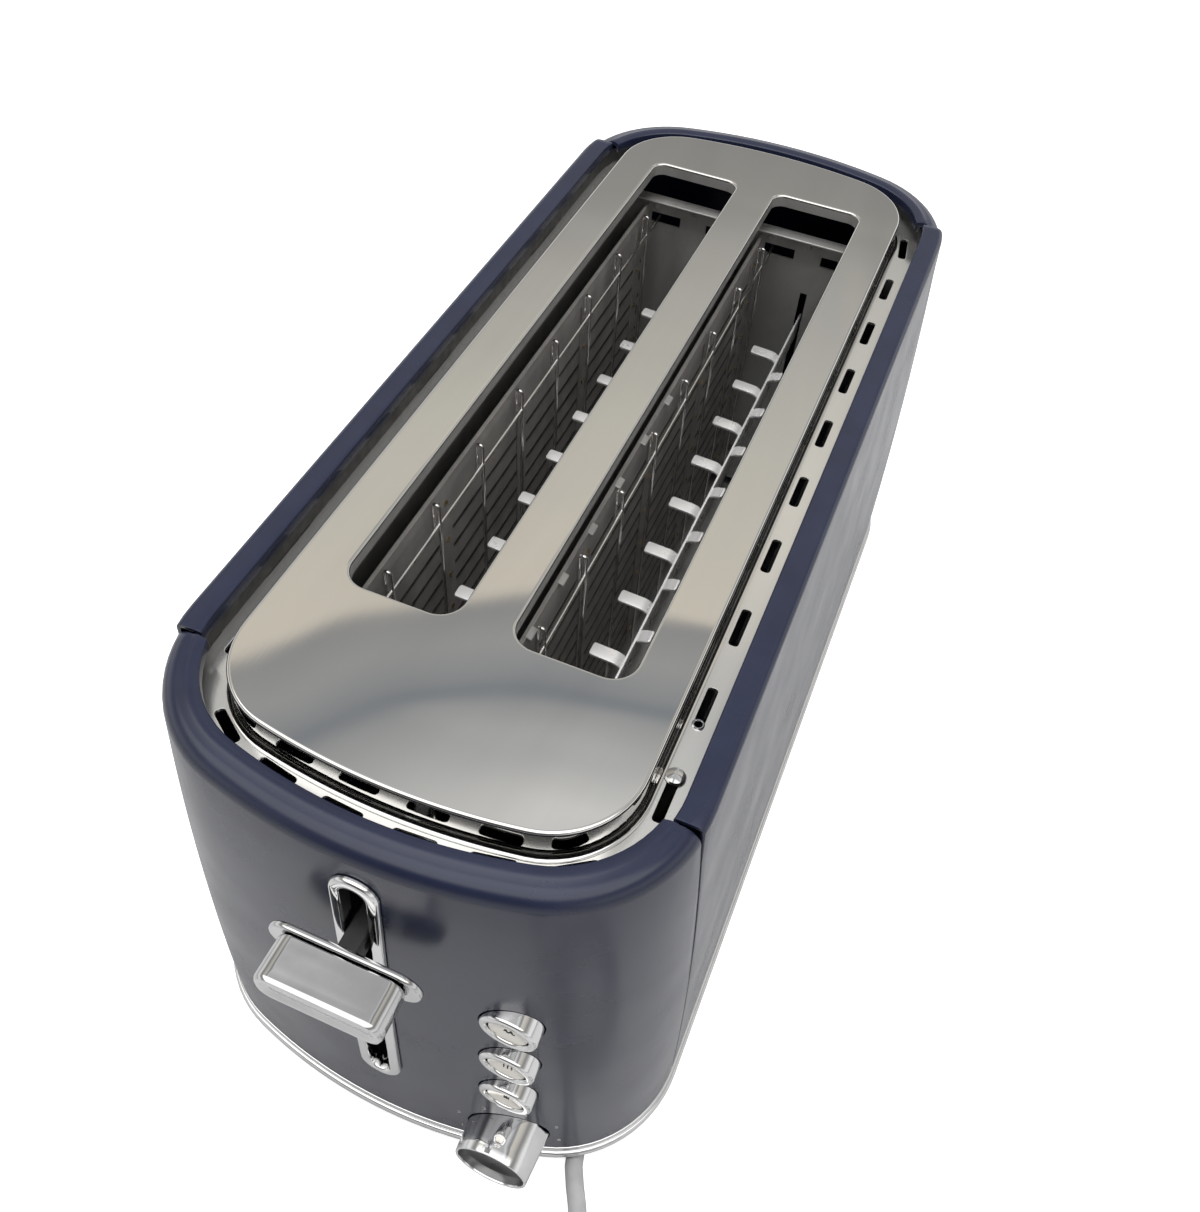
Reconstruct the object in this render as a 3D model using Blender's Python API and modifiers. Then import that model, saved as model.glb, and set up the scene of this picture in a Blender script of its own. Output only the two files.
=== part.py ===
"""A long-slot toaster: two long bread slots, a painted shell in four panels,
a polished top, a chrome lever, three push buttons and a browning knob.

Metres, +Z up. The controls face -Y. The origin is on the floor, under the
middle of the object measured without its cord.
"""

import math

import bmesh
import bpy
from mathutils import Matrix, Vector

for old in list(bpy.data.objects):
    bpy.data.objects.remove(old, do_unlink=True)

# Fits and cuts
joint_gap = 0.0003
slide_gap = 0.0005
overrun = 0.0100
weld_distance = 0.00001

# Painted shell, at its rim and at its foot
rim_half_width = 0.0808
rim_half_length = 0.1954
rim_corner_radius = 0.0462
rim_bow_radius = 0.1809
side_flare = 0.0096
end_flare = 0.0099
base_half_width = rim_half_width + side_flare
base_half_length = rim_half_length + end_flare
base_corner_radius = 0.0459
base_bow_radius = 0.1986
shell_height = 0.1756
shell_wall = 0.0015
side_swell = 0.0014
rim_roll_radius = 0.0065
rim_width = 0.0111
rim_edge_radius = 0.0012
rim_lip_depth = 0.0125
seam_setback = 0.0420
seam_distance = rim_half_length - seam_setback
seam_gap = 0.0007

# Foot, trim ring and base tray
foot_height = 0.0080
foot_radius = 0.0080
foot_chamfer = 0.0010
front_foot_x = 0.0400
rear_foot_x = 0.0580
front_foot_setback = 0.0254
rear_foot_setback = 0.0354
trim_height = 0.0080
trim_depth = 0.0020
trim_step = 0.0006
trim_proud = 0.0018
trim_step_height = 0.0045
trim_edge = 0.0004
tray_floor = 0.0030
tray_wall = 0.0025
tray_wall_height = 0.0080
rail_height = 0.0092
rail_width = 0.0040

# Polished top: the recessed deck with its vents, and the raised plate
deck_drop = 0.0100
deck_thickness = 0.0010
deck_under_plate = 0.0060
vent_inset = 0.0042
vent_width = 0.0045
side_vent_length = 0.0152
side_vent_pitch_share = 0.1120
side_vent_shift = 0.0033
side_vent_count = 10
end_vent_length = 0.0125
end_vent_pitch = 0.0215
end_vent_count = 6
plate_rise = 0.0021
plate_inset = 0.0190
plate_half_width = rim_half_width - plate_inset
plate_half_length = rim_half_length - plate_inset
plate_corner_radius = 0.0280
plate_bow_radius = 0.2112
plate_edge_radius = 0.0018
plate_thickness = 0.0012
skirt_flare = 0.0010

# Bread slots
slot_setback = 0.0629
slot_length = 2 * (rim_half_length - slot_setback)
slot_width = 0.0373
slot_spacing = 0.0542
slot_corner_radius = 0.0080
slot_shift = 0.0123
slot_lip_depth = 0.0050
slot_lip_wall = 0.0012

# Chassis plates across the two ends of the slots
chassis_thickness = 0.0010
front_chassis_clearance = 0.0075
rear_chassis_clearance = 0.0045
chassis_side_clearance = 0.0118
chassis_shoulder_width = 0.0070
chassis_half_width = rim_half_width - chassis_side_clearance
chassis_top_half_width = chassis_half_width - chassis_shoulder_width
chassis_leg_width = 0.0055
chassis_arch_height = 0.0180
chassis_shoulder = 0.0150
chassis_top_drop = 0.0045
guard_slot_outward = 0.0032
guard_slot_inward = 0.0108
guard_slot_height = 0.0050

# Heaters and their steel shields
heater_thickness = 0.0010
heater_bottom = 0.0400
heater_top_drop = 0.0220
heater_clearance = 0.0034
shield_thickness = 0.0008
shield_inset = 0.0085
shield_x = chassis_half_width - shield_inset
shield_bottom = 0.0300
shield_top_drop = 0.0160

# Bread guards, flat grids of square wire
wire_size = 0.0016
guard_offset = 0.0169
guard_close_travel = 0.00525
guard_open_travel = 0.0009
guard_bottom = 0.0432
guard_wire_drop = 0.0287
guard_top_drop = 0.0200
guard_tail = 0.0013
guard_column_pitch_share = 0.1250
guard_column_count = 8
guard_column_shift = 0.0064

# Bread lifts
lift_level = 0.1347
lift_thickness = 0.0012
lift_depth = 0.0120
lift_band_shift = 0.0017
lift_spine_width = 0.0024
lift_tab_pitch_share = 0.1004
lift_tab_count = 9
lift_tab_width = 0.0052
lift_tab_shifts = (0.0011, -0.0026)
lift_left_reach = 0.0095
lift_right_reach = 0.0070
lift_tail = 0.0035
lift_slot_gap = 0.0010

# Carriage and lever
lever_x = 0.0016
lever_drop = 0.0430
press_travel = 0.0700
lift_travel = 0.0120
carriage_half_width = 0.0340
carriage_depth = 0.0140
carriage_height = 0.0220
carriage_setback = 0.0070
carriage_top_drop = 0.0020
guide_rod_radius = 0.0025
guide_rod_x = 0.0140
rod_clearance = 0.0004
stem_width = 0.0060
stem_height = 0.0090
flange_half_width = 0.0233
flange_half_height = 0.0078
flange_thickness = 0.0020
flange_edge = 0.0005
flange_clearance = 0.0004
knob_half_width = 0.0190
knob_half_height = 0.0066
knob_corner_radius = 0.0052
knob_length = 0.0135
knob_front_edge = 0.0012
knob_dish = 0.0010
lever_slot_half_width = 0.0038
lever_slot_top_drop = 0.0170
lever_slot_bottom_drop = 0.1362
escutcheon_band = 0.0036
escutcheon_sleeve = 0.0009
escutcheon_sleeve_depth = 0.0025
escutcheon_proud = 0.0020
escutcheon_edge = 0.0009
spring_radius = 0.0032
spring_x = 0.0240
armature_thickness = 0.0018
armature_half_width = 0.0090
magnet_half_width = 0.0080
magnet_height = 0.0160

# Controls on the right of the front
control_x = 0.0450
button_radius = 0.0093
button_first_drop = 0.0728
button_pitch = 0.0264
button_count = 3
button_proud = 0.0033
button_travel = 0.0018
button_ring = 0.0027
button_ring_edge = 0.0007
button_dish_depth = 0.0016
button_hole_gap = 0.0004
button_cap_thickness = 0.0008
board_clearance = 0.0370
board_thickness = 0.0016
board_half_width = 0.0190
board_margin = 0.0160
board_bottom = 0.0210
spacer_radius = 0.0030
spacer_inset = 0.0050
spacer_height = 0.0900
browning_x = 0.0453
browning_drop = 0.1630
browning_lean = math.radians(3.5)
browning_radius = 0.0137
browning_face_radius = 0.0132
browning_hole_gap = 0.0004
browning_proud = 0.0141
browning_length = 0.0222
browning_dish_radius = 0.0121
browning_dish_depth = 0.0040
browning_edge = 0.0005
browning_shaft_radius = 0.0030
pointer_depth = 0.0009
pointer_angle = math.radians(24)
bush_wall = 0.0018
bush_length = 0.0060
pot_radius = 0.0080
pot_depth = 0.0075

# Crumb tray, drawn out at the rear
crumb_inset = 0.0190
crumb_half_width = chassis_half_width - crumb_inset
crumb_height = 0.0058
crumb_wall = 0.0010
crumb_front_setback = 0.0834
crumb_grip_proud = 0.0030

# Mains cord, its strain relief and its plug
cord_diameter = 0.0066
relief_root_radius = 0.0052
relief_end_radius = 0.0042
relief_length = 0.0300
relief_x = 0.0662
relief_height = 0.0102
relief_slope = math.radians(10)
pocket_half_width = 0.0080
pocket_setback = 0.0564
pocket_length = 0.0405
pocket_height = 0.0110
pocket_wall = 0.0020
coil_turn_gap = 0.0006
coil_mean_radius = 0.0363
coil_turns_each_layer = 1.75
coil_points_each_turn = 24
coil_x = 0.1275
coil_ahead = 0.0455
run_waypoints_ahead = [(0.0670, -0.0203), (0.0696, -0.0093), (0.0766, 0.0035), (0.0825, 0.0177)]
tail_waypoints_ahead = [(0.0832, 0.0807, 0.0070), (0.0840, 0.1007, 0.0033), (0.0890, 0.1207, 0.0045),
                        (0.0970, 0.1377, 0.0088), (0.1010, 0.1467, 0.0100)]
plug_half_width = 0.0135
plug_half_height = 0.0100
plug_length = 0.0300
plug_neck_radius = 0.0050
plug_neck_length = 0.0180
plug_corner_radius = 0.0045
blade_length = 0.0160
blade_width = 0.0064
blade_thickness = 0.0015
blade_spacing = 0.0127
earth_pin_radius = 0.0024
earth_pin_length = 0.0190

# Heights above the floor
shell_bottom = foot_height + trim_height
rim_top = shell_bottom + shell_height
rim_roll_start = rim_top - rim_roll_radius
plate_top = rim_top + plate_rise
deck_top = rim_top - deck_drop
deck_underside = deck_top - deck_thickness
floor_top = foot_height + tray_floor
lever_height = plate_top - lever_drop
lever_slot_top = plate_top - lever_slot_top_drop
lever_slot_bottom = plate_top - lever_slot_bottom_drop
guard_wire_top = plate_top - guard_wire_drop
guard_top = plate_top - guard_top_drop

# Places along Y, measured from the middle of the shell
front_foot_y = rim_half_length - front_foot_setback
rear_foot_y = rim_half_length - rear_foot_setback
crumb_front = rim_half_length - crumb_front_setback
pocket_rear_y = rim_half_length - pocket_setback
lift_tab_pitch = slot_length * lift_tab_pitch_share
guard_column_pitch = slot_length * guard_column_pitch_share
coil_y = -base_half_length - coil_ahead
slot_front = slot_shift - slot_length / 2
slot_rear = slot_shift + slot_length / 2
front_chassis_y = slot_front - front_chassis_clearance
rear_chassis_y = slot_rear + rear_chassis_clearance
carriage_rear_y = front_chassis_y - carriage_setback
carriage_front_y = carriage_rear_y - carriage_depth
rod_y = (carriage_front_y + carriage_rear_y) / 2
slot_x = slot_spacing / 2


def mix(first, last, share):
    return first + (last - first) * share


def shell_share(height):
    """0 where the rim's roll starts, 1 at the shell's foot."""
    share = (rim_roll_start - height) / (rim_roll_start - shell_bottom)
    return min(max(share, 0), 1)


def shell_sizes(share):
    swell = side_swell * 4 * share * (1 - share)
    return (mix(rim_half_width, base_half_width, share) + swell,
            mix(rim_half_length, base_half_length, share) + swell,
            mix(rim_corner_radius, base_corner_radius, share),
            mix(rim_bow_radius, base_bow_radius, share))


def arc_centres(half_width, half_length, corner, bow):
    """Distances from the middle to the bow's and the corners' centres."""
    corner_x = half_width - corner
    bow_y = bow - half_length
    corner_y = bow_y - math.sqrt((bow - corner) ** 2 - corner_x ** 2)
    return corner_x, corner_y, bow_y


def outline(half_width, half_length, corner, bow, corner_steps=6, bow_steps=5):
    """The plan outline: straight sides, round corners and bowed ends."""
    corner_x, corner_y, bow_y = arc_centres(half_width, half_length, corner, bow)
    meet = math.atan2(corner_y - bow_y, corner_x)
    quarter = []
    for step in range(corner_steps + 1):
        turn = meet * step / corner_steps
        quarter.append((corner_x + corner * math.cos(turn), corner_y + corner * math.sin(turn)))
    for step in range(1, bow_steps + 1):
        turn = mix(meet, -math.pi / 2, step / bow_steps)
        quarter.append((bow * math.cos(turn), bow_y + bow * math.sin(turn)))
    front = quarter + [(-x, y) for x, y in reversed(quarter[:-1])]
    rear = [(-x, -y) for x, y in front]
    return front + rear


def front_surface(x, height, proud=0):
    """Y of the shell's front face at a place across and up."""
    half_width, half_length, corner, bow = shell_sizes(shell_share(height))
    corner_x, corner_y, bow_y = arc_centres(half_width, half_length, corner, bow)
    across = abs(x)
    if across <= bow * corner_x / (bow - corner):
        return bow_y - math.sqrt((bow + proud) ** 2 - across ** 2)
    reach = min(across - corner_x, corner + proud)
    return corner_y - math.sqrt((corner + proud) ** 2 - reach ** 2)


def inset_outline(sizes, inset, height):
    half_width, half_length, corner, bow = sizes
    ring = outline(half_width - inset, half_length - inset, corner - inset, bow - inset)
    return [(x, y, height) for x, y in ring]


def rounded_rectangle(half_x, half_y, radius, steps=5):
    points = []
    for side, (sx, sy) in enumerate(((1, 1), (-1, 1), (-1, -1), (1, -1))):
        for step in range(steps + 1):
            turn = math.pi / 2 * (side + step / steps)
            points.append((sx * (half_x - radius) + radius * math.cos(turn),
                           sy * (half_y - radius) + radius * math.sin(turn)))
    return points


def pill(half_width, top, bottom, steps=8, side_steps=5):
    """A vertical slot's outline, with points along its straight sides."""
    points = []
    for step in range(steps + 1):
        turn = math.pi * step / steps
        points.append((half_width * math.cos(turn), top - half_width + half_width * math.sin(turn)))
    for step in range(1, side_steps):
        points.append((-half_width, mix(top - half_width, bottom + half_width, step / side_steps)))
    for step in range(steps + 1):
        turn = math.pi * (1 + step / steps)
        points.append((half_width * math.cos(turn), bottom + half_width + half_width * math.sin(turn)))
    for step in range(1, side_steps):
        points.append((half_width, mix(bottom + half_width, top - half_width, step / side_steps)))
    return points


parts = bpy.data.collections.new("long_slot_toaster")
bpy.context.scene.collection.children.link(parts)


def material(name, colour, roughness, metallic):
    made = bpy.data.materials.new(name)
    made.use_nodes = True
    shader = made.node_tree.nodes["Principled BSDF"]
    shader.inputs["Base Color"].default_value = (*colour, 1)
    shader.inputs["Roughness"].default_value = roughness
    shader.inputs["Metallic"].default_value = metallic
    return made


navy_paint = material("navy_paint", (0.052, 0.060, 0.088), 0.36, 0.1)
polished_steel = material("polished_steel", (0.62, 0.61, 0.59), 0.16, 1)
chrome = material("chrome", (0.78, 0.78, 0.78), 0.06, 1)
plated_steel = material("plated_steel", (0.50, 0.49, 0.47), 0.35, 1)
mica = material("mica", (0.10, 0.088, 0.080), 0.60, 0)
black_plastic = material("black_plastic", (0.022, 0.022, 0.024), 0.50, 0)
black_rubber = material("black_rubber", (0.020, 0.020, 0.020), 0.85, 0)
grey_rubber = material("grey_rubber", (0.36, 0.36, 0.37), 0.60, 0)
board_green = material("board_green", (0.03, 0.12, 0.06), 0.50, 0)
copper_winding = material("copper_winding", (0.45, 0.20, 0.09), 0.45, 0.8)
cream_cap = material("cream_cap", (0.70, 0.67, 0.60), 0.12, 1)
brass = material("brass", (0.75, 0.60, 0.30), 0.25, 1)


def new_object(name, mesh, look=None):
    made = bpy.data.objects.new(name, mesh)
    parts.objects.link(made)
    if look:
        mesh.materials.clear()
        mesh.materials.append(look)
    return made


def smooth(mesh, angle=math.radians(35)):
    mesh.shade_smooth()
    mesh.set_sharp_from_angle(angle=angle)


def mesh_from(bm, name):
    bmesh.ops.recalc_face_normals(bm, faces=bm.faces)
    mesh = bpy.data.meshes.new(name)
    bm.to_mesh(mesh)
    bm.free()
    smooth(mesh)
    return mesh


def loft(name, rings, look=None, closed=False):
    """Skin a row of like rings; a closed row makes a hollow ring."""
    bm = bmesh.new()
    rows = [[bm.verts.new(point) for point in ring] for ring in rings]
    pairs = list(zip(rows, rows[1:]))
    if closed:
        pairs.append((rows[-1], rows[0]))
    else:
        bm.faces.new(rows[0])
        bm.faces.new(rows[-1])
    for low, high in pairs:
        for first in range(len(low)):
            second = (first + 1) % len(low)
            bm.faces.new((low[first], low[second], high[second], high[first]))
    return new_object(name, mesh_from(bm, name), look)


def bake(item):
    """Keep an object's evaluated shape as its own mesh."""
    graph = bpy.context.evaluated_depsgraph_get()
    mesh = bpy.data.meshes.new_from_object(item.evaluated_get(graph))
    made = bpy.data.objects.new(item.name, mesh)
    parts.objects.link(made)
    made.matrix_world = item.matrix_world.copy()
    name = item.name
    bpy.data.objects.remove(item, do_unlink=True)
    made.name = name
    bm = bmesh.new()
    bm.from_mesh(mesh)
    bmesh.ops.remove_doubles(bm, verts=bm.verts, dist=weld_distance)
    bmesh.ops.transform(bm, matrix=made.matrix_world, verts=bm.verts)
    bm.to_mesh(mesh)
    bm.free()
    made.matrix_world = Matrix.Identity(4)
    smooth(mesh)
    return made


def flat(name, loops, low, high, look=None, turn=None):
    """A flat piece from outlines and their holes, between two levels."""
    curve = bpy.data.curves.new(name, "CURVE")
    curve.dimensions = "2D"
    curve.fill_mode = "BOTH"
    curve.extrude = (high - low) / 2
    for loop in loops:
        line = curve.splines.new("POLY")
        line.points.add(len(loop) - 1)
        line.use_cyclic_u = True
        for point, (x, y) in zip(line.points, loop):
            point.co = (x, y, 0, 1)
    made = bpy.data.objects.new(name, curve)
    parts.objects.link(made)
    if look:
        curve.materials.append(look)
    made.matrix_world = (turn or Matrix.Identity(4)) @ Matrix.Translation((0, 0, (low + high) / 2))
    bpy.context.view_layer.update()
    return bake(made)


def box(name, low, high, look=None):
    bm = bmesh.new()
    bmesh.ops.create_cube(bm, size=1)
    size = Vector(high) - Vector(low)
    centre = (Vector(high) + Vector(low)) / 2
    bmesh.ops.scale(bm, vec=size, verts=bm.verts)
    bmesh.ops.translate(bm, vec=centre, verts=bm.verts)
    return new_object(name, mesh_from(bm, name), look)


def rod(name, start, end, radius, look=None, sides=20, end_radius=None):
    """A cylinder or cone between two points."""
    start, end = Vector(start), Vector(end)
    bm = bmesh.new()
    length = (end - start).length
    tip = radius if end_radius is None else end_radius
    bmesh.ops.create_cone(bm, cap_ends=True, segments=sides, radius1=radius,
                          radius2=tip, depth=length)
    aim = Vector((0, 0, 1)).rotation_difference(end - start).to_matrix().to_4x4()
    place = Matrix.Translation((start + end) / 2) @ aim
    bmesh.ops.transform(bm, matrix=place, verts=bm.verts)
    return new_object(name, mesh_from(bm, name), look)


def turned(name, profile, look=None, steps=24):
    """A turned solid about Z; the profile runs top to bottom outside."""
    bm = bmesh.new()
    verts = [bm.verts.new((radius, 0, height)) for radius, height in profile]
    for first, second in zip(verts, verts[1:]):
        bm.edges.new((first, second))
    mesh = bpy.data.meshes.new(name)
    bm.to_mesh(mesh)
    bm.free()
    made = new_object(name, mesh, look)
    spin = made.modifiers.new("turn", "SCREW")
    spin.axis = "Z"
    spin.angle = math.tau
    spin.steps = steps
    spin.render_steps = steps
    spin.use_merge_vertices = True
    spin.merge_threshold = 0.0001
    spin.use_smooth_shade = True
    return made


def combine(target, others, operation):
    """Join or cut a piece with others, which are used up."""
    for other in others:
        step = target.modifiers.new(operation.lower(), "BOOLEAN")
        step.operation = operation
        step.solver = "EXACT"
        step.object = other
    bpy.context.view_layer.update()
    made = bake(target)
    for other in others:
        bpy.data.objects.remove(other, do_unlink=True)
    return made


def cut(target, *cutters):
    return combine(target, cutters, "DIFFERENCE")


def join(target, *others):
    return combine(target, others, "UNION")


upright = Matrix.Rotation(math.pi / 2, 4, "X")
sideways = Matrix(((0, 0, 1, 0), (1, 0, 0, 0), (0, 1, 0, 0), (0, 0, 0, 1)))


# Painted shell: one hollow ring with a rolled rim, sliced at four seams
def shell_rings():
    rings = []
    level_shares = (1, 0.75, 0.5, 0.25, 0)
    for share in level_shares:
        height = mix(rim_roll_start, shell_bottom, share)
        rings.append(inset_outline(shell_sizes(share), 0, height))
    rim = shell_sizes(0)
    roll_steps = 4
    for step in range(1, roll_steps + 1):
        turn = math.pi / 2 * step / roll_steps
        rings.append(inset_outline(rim, rim_roll_radius * (1 - math.cos(turn)),
                                   rim_roll_start + rim_roll_radius * math.sin(turn)))
    edge_steps = 2
    for step in range(edge_steps + 1):
        turn = math.pi / 2 * step / edge_steps
        rings.append(inset_outline(rim, rim_width - rim_edge_radius * (1 - math.sin(turn)),
                                   rim_top - rim_edge_radius * (1 - math.cos(turn))))
    rings.append(inset_outline(rim, rim_width, rim_top - rim_lip_depth))
    rings.append(inset_outline(rim, rim_width - shell_wall, rim_top - rim_lip_depth))
    rings.append(inset_outline(rim, rim_width - shell_wall, rim_top - shell_wall))
    inner_roll = rim_roll_radius - shell_wall
    inner_steps = 3
    for step in range(inner_steps):
        turn = math.pi / 2 * (1 - step / inner_steps)
        rings.append(inset_outline(rim, rim_roll_radius - inner_roll * math.cos(turn),
                                   rim_roll_start + inner_roll * math.sin(turn)))
    for share in reversed(level_shares):
        height = mix(rim_roll_start, shell_bottom, share)
        rings.append(inset_outline(shell_sizes(share), shell_wall, height))
    return rings


def slice_panel(name, whole, planes, keep):
    bm = bmesh.new()
    bm.from_mesh(whole.data)
    for point, normal in planes:
        everything = bm.verts[:] + bm.edges[:] + bm.faces[:]
        bmesh.ops.bisect_plane(bm, geom=everything, dist=weld_distance / 10, plane_co=point,
                               plane_no=normal, clear_outer=True)
        bmesh.ops.holes_fill(bm, edges=[edge for edge in bm.edges if edge.is_boundary], sides=0)
    unwanted = [vert for vert in bm.verts if not keep(vert.co)]
    bmesh.ops.delete(bm, geom=unwanted, context="VERTS")
    return new_object(name, mesh_from(bm, name), navy_paint)


whole_shell = loft("whole_shell", shell_rings(), closed=True)
cap_edge = seam_distance + seam_gap / 2
side_edge = seam_distance - seam_gap / 2
front_end_cap = slice_panel("front_end_cap", whole_shell,
                            [((0, -cap_edge, 0), (0, 1, 0))], lambda place: True)
rear_end_cap = slice_panel("rear_end_cap", whole_shell,
                           [((0, cap_edge, 0), (0, -1, 0))], lambda place: True)
side_planes = [((0, side_edge, 0), (0, 1, 0)), ((0, -side_edge, 0), (0, -1, 0))]
left_side_panel = slice_panel("left_side_panel", whole_shell, side_planes, lambda place: place.x < 0)
right_side_panel = slice_panel("right_side_panel", whole_shell, side_planes, lambda place: place.x > 0)
bpy.data.objects.remove(whole_shell, do_unlink=True)

# Openings in the front for the lever, the buttons and the browning knob
lever_hole_grow = escutcheon_sleeve + joint_gap
front_reach = (-base_half_length - overrun, -seam_distance - overrun)


def front_prism(name, loop):
    return flat(name, [loop], -front_reach[1], -front_reach[0], turn=upright)


hole = pill(lever_slot_half_width + lever_hole_grow, lever_slot_top + lever_hole_grow,
            lever_slot_bottom - lever_hole_grow)
cutters = [front_prism("lever_hole", [(lever_x + x, z) for x, z in hole])]
button_heights = [plate_top - button_first_drop - button_pitch * index for index in range(button_count)]
browning_height = plate_top - browning_drop
for height in button_heights:
    cutters.append(rod("button_hole", (control_x, front_reach[0], height),
                       (control_x, front_reach[1], height), button_radius + button_hole_gap, sides=24))
outward = Vector((0, -math.cos(browning_lean), math.sin(browning_lean)))
browning_seat = Vector((browning_x, front_surface(browning_x, browning_height), browning_height))
cutters.append(rod("knob_hole", browning_seat + outward * overrun, browning_seat - outward * browning_length,
                   browning_radius + browning_hole_gap, sides=32))
front_end_cap = cut(front_end_cap, *cutters)

# The crumb tray's way out, in the foot of the rear cap
crumb_floor = floor_top + rail_height - tray_floor + joint_gap
crumb_top = crumb_floor + crumb_height
rear_end_cap = cut(rear_end_cap, box("crumb_notch",
                                     (-crumb_half_width - slide_gap, seam_distance + overrun, shell_bottom - overrun),
                                     (crumb_half_width + slide_gap, base_half_length + overrun, crumb_top + slide_gap)))

# Chrome trim ring, a two-step band under the shell
base_sizes = shell_sizes(1)
trim_top = shell_bottom - joint_gap
trim_profile = [(-trim_proud + trim_edge, foot_height),
                (-trim_proud, foot_height + trim_edge),
                (-trim_proud, foot_height + trim_step_height - trim_edge),
                (-trim_proud + trim_edge, foot_height + trim_step_height),
                (-trim_step, foot_height + trim_step_height),
                (-trim_step, trim_top - trim_edge),
                (-trim_step + trim_edge, trim_top),
                (trim_depth, trim_top),
                (trim_depth, foot_height)]
loft("base_trim_ring", [inset_outline(base_sizes, inset, height) for inset, height in trim_profile],
     chrome, closed=True)

# Base tray: a shallow pan with rails for the crumb tray and a cord pocket
tray_inset = trim_depth + joint_gap
tray_top = foot_height + tray_wall_height
base_tray = loft("base_tray", [inset_outline(base_sizes, tray_inset, foot_height),
                               inset_outline(base_sizes, tray_inset, tray_top)], black_plastic)
hollow = loft("hollow", [inset_outline(base_sizes, tray_inset + tray_wall, floor_top),
                         inset_outline(base_sizes, tray_inset + tray_wall, tray_top + overrun)])
base_tray = cut(base_tray, hollow)
rail_top = floor_top + rail_height - tray_floor
sink = tray_floor / 2
rails = []
for side in (-1, 1):
    outer = side * crumb_half_width
    inner = side * (crumb_half_width - rail_width)
    rails.append(box("rail", (min(outer, inner), -crumb_front, floor_top - sink),
                     (max(outer, inner), seam_distance, rail_top)))
pocket_left = relief_x - pocket_half_width
pocket_right = relief_x + pocket_half_width
pocket_front_y = -pocket_rear_y - pocket_length
pocket_roof = foot_height + pocket_height
rails.append(box("pocket_shell",
                 (pocket_left - pocket_wall, pocket_front_y - pocket_wall, foot_height + sink),
                 (pocket_right + pocket_wall, -pocket_rear_y + pocket_wall, pocket_roof + pocket_wall)))
base_tray = join(base_tray, *rails)
base_tray = cut(base_tray, box("pocket", (pocket_left, pocket_front_y, foot_height - overrun),
                               (pocket_right, -pocket_rear_y, pocket_roof)))
base_tray.name = "base_tray"

# Rubber feet
foot_places = [(-front_foot_x, -front_foot_y), (front_foot_x, -front_foot_y),
               (-rear_foot_x, rear_foot_y), (rear_foot_x, rear_foot_y)]
for number, (x, y) in enumerate(foot_places, 1):
    foot = turned(f"foot_{number}", [(0, foot_height - joint_gap), (foot_radius, foot_height - joint_gap),
                                     (foot_radius, foot_chamfer), (foot_radius - foot_chamfer, 0),
                                     (0, 0)], black_rubber)
    foot.location = (x, y, 0)

# Vented deck, a polished ring recessed inside the rim
rim_sizes = shell_sizes(0)
plate_sizes = (plate_half_width, plate_half_length, plate_corner_radius, plate_bow_radius)


def vent(centre, along, length):
    """A round-ended slot about a point, lying along a direction."""
    radius = vent_width / 2
    straight = length / 2 - radius
    steps = 4
    heading = math.atan2(along[1], along[0])
    loop = []
    for end in (0, 1):
        for step in range(steps + 1):
            turn = heading - math.pi / 2 + math.pi * (end + step / steps)
            shift = straight if end == 0 else -straight
            loop.append((centre[0] + shift * math.cos(heading) + radius * math.cos(turn),
                         centre[1] + shift * math.sin(heading) + radius * math.sin(turn)))
    return loop


def along_front(points, distance):
    """Walk from the front's middle toward +X along an outline."""
    for first, second in zip(points, points[1:]):
        step = (Vector(second) - Vector(first)).length
        if distance <= step:
            way = (Vector(second) - Vector(first)) / step
            return Vector(first) + way * distance, way
        distance -= step
    raise ValueError("the vents reach past the front")


vent_line_inset = rim_width + vent_inset
half_width, half_length, corner, bow = (size - vent_line_inset for size in rim_sizes)
straight_side = -2 * arc_centres(*rim_sizes)[1]
side_vent_pitch = straight_side * side_vent_pitch_share
fine_steps = 24
fine = outline(half_width, half_length, corner, bow, fine_steps, fine_steps)
front_line = list(reversed(fine[:2 * fine_steps + 1]))
deck_loops = [[(x, y) for x, y, z in inset_outline(rim_sizes, rim_width + joint_gap, 0)],
              [(x, y) for x, y, z in inset_outline(plate_sizes, deck_under_plate, 0)]]
for index in range(end_vent_count // 2):
    centre, way = along_front(front_line, end_vent_pitch * (index + 0.5))
    for sx in (-1, 1):
        for sy in (-1, 1):
            deck_loops.append(vent((sx * centre.x, sy * centre.y), (sx * way.x, sy * way.y), end_vent_length))


def beside(y):
    """A point and direction on the vents' line, round the corner if need be."""
    corner_x, corner_y, bow_y = arc_centres(half_width, half_length, corner, bow)
    turn = max(abs(y) + corner_y, 0) / corner * (1 if y > 0 else -1)
    return (corner_x + corner * math.cos(turn), min(max(y, corner_y), -corner_y) + corner * math.sin(turn),
            -math.sin(turn), math.cos(turn))


for index in range(side_vent_count):
    x, y, way_x, way_y = beside(side_vent_shift + side_vent_pitch * (index - (side_vent_count - 1) / 2))
    for sx in (-1, 1):
        deck_loops.append(vent((sx * x, y), (sx * way_x, way_y), side_vent_length))
flat("vent_deck", deck_loops, deck_underside, deck_top, polished_steel)

# Raised plate: a shallow pan with two lipped bread slots
skirt_bottom = deck_top + joint_gap
plate_rings = [inset_outline(plate_sizes, -skirt_flare, skirt_bottom),
               inset_outline(plate_sizes, 0, plate_top - plate_edge_radius)]
edge_steps = 3
for step in range(1, edge_steps + 1):
    turn = math.pi / 2 * step / edge_steps
    plate_rings.append(inset_outline(plate_sizes, plate_edge_radius * (1 - math.cos(turn)),
                                     plate_top - plate_edge_radius * (1 - math.sin(turn))))
top_plate = loft("top_plate", plate_rings, polished_steel)


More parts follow.
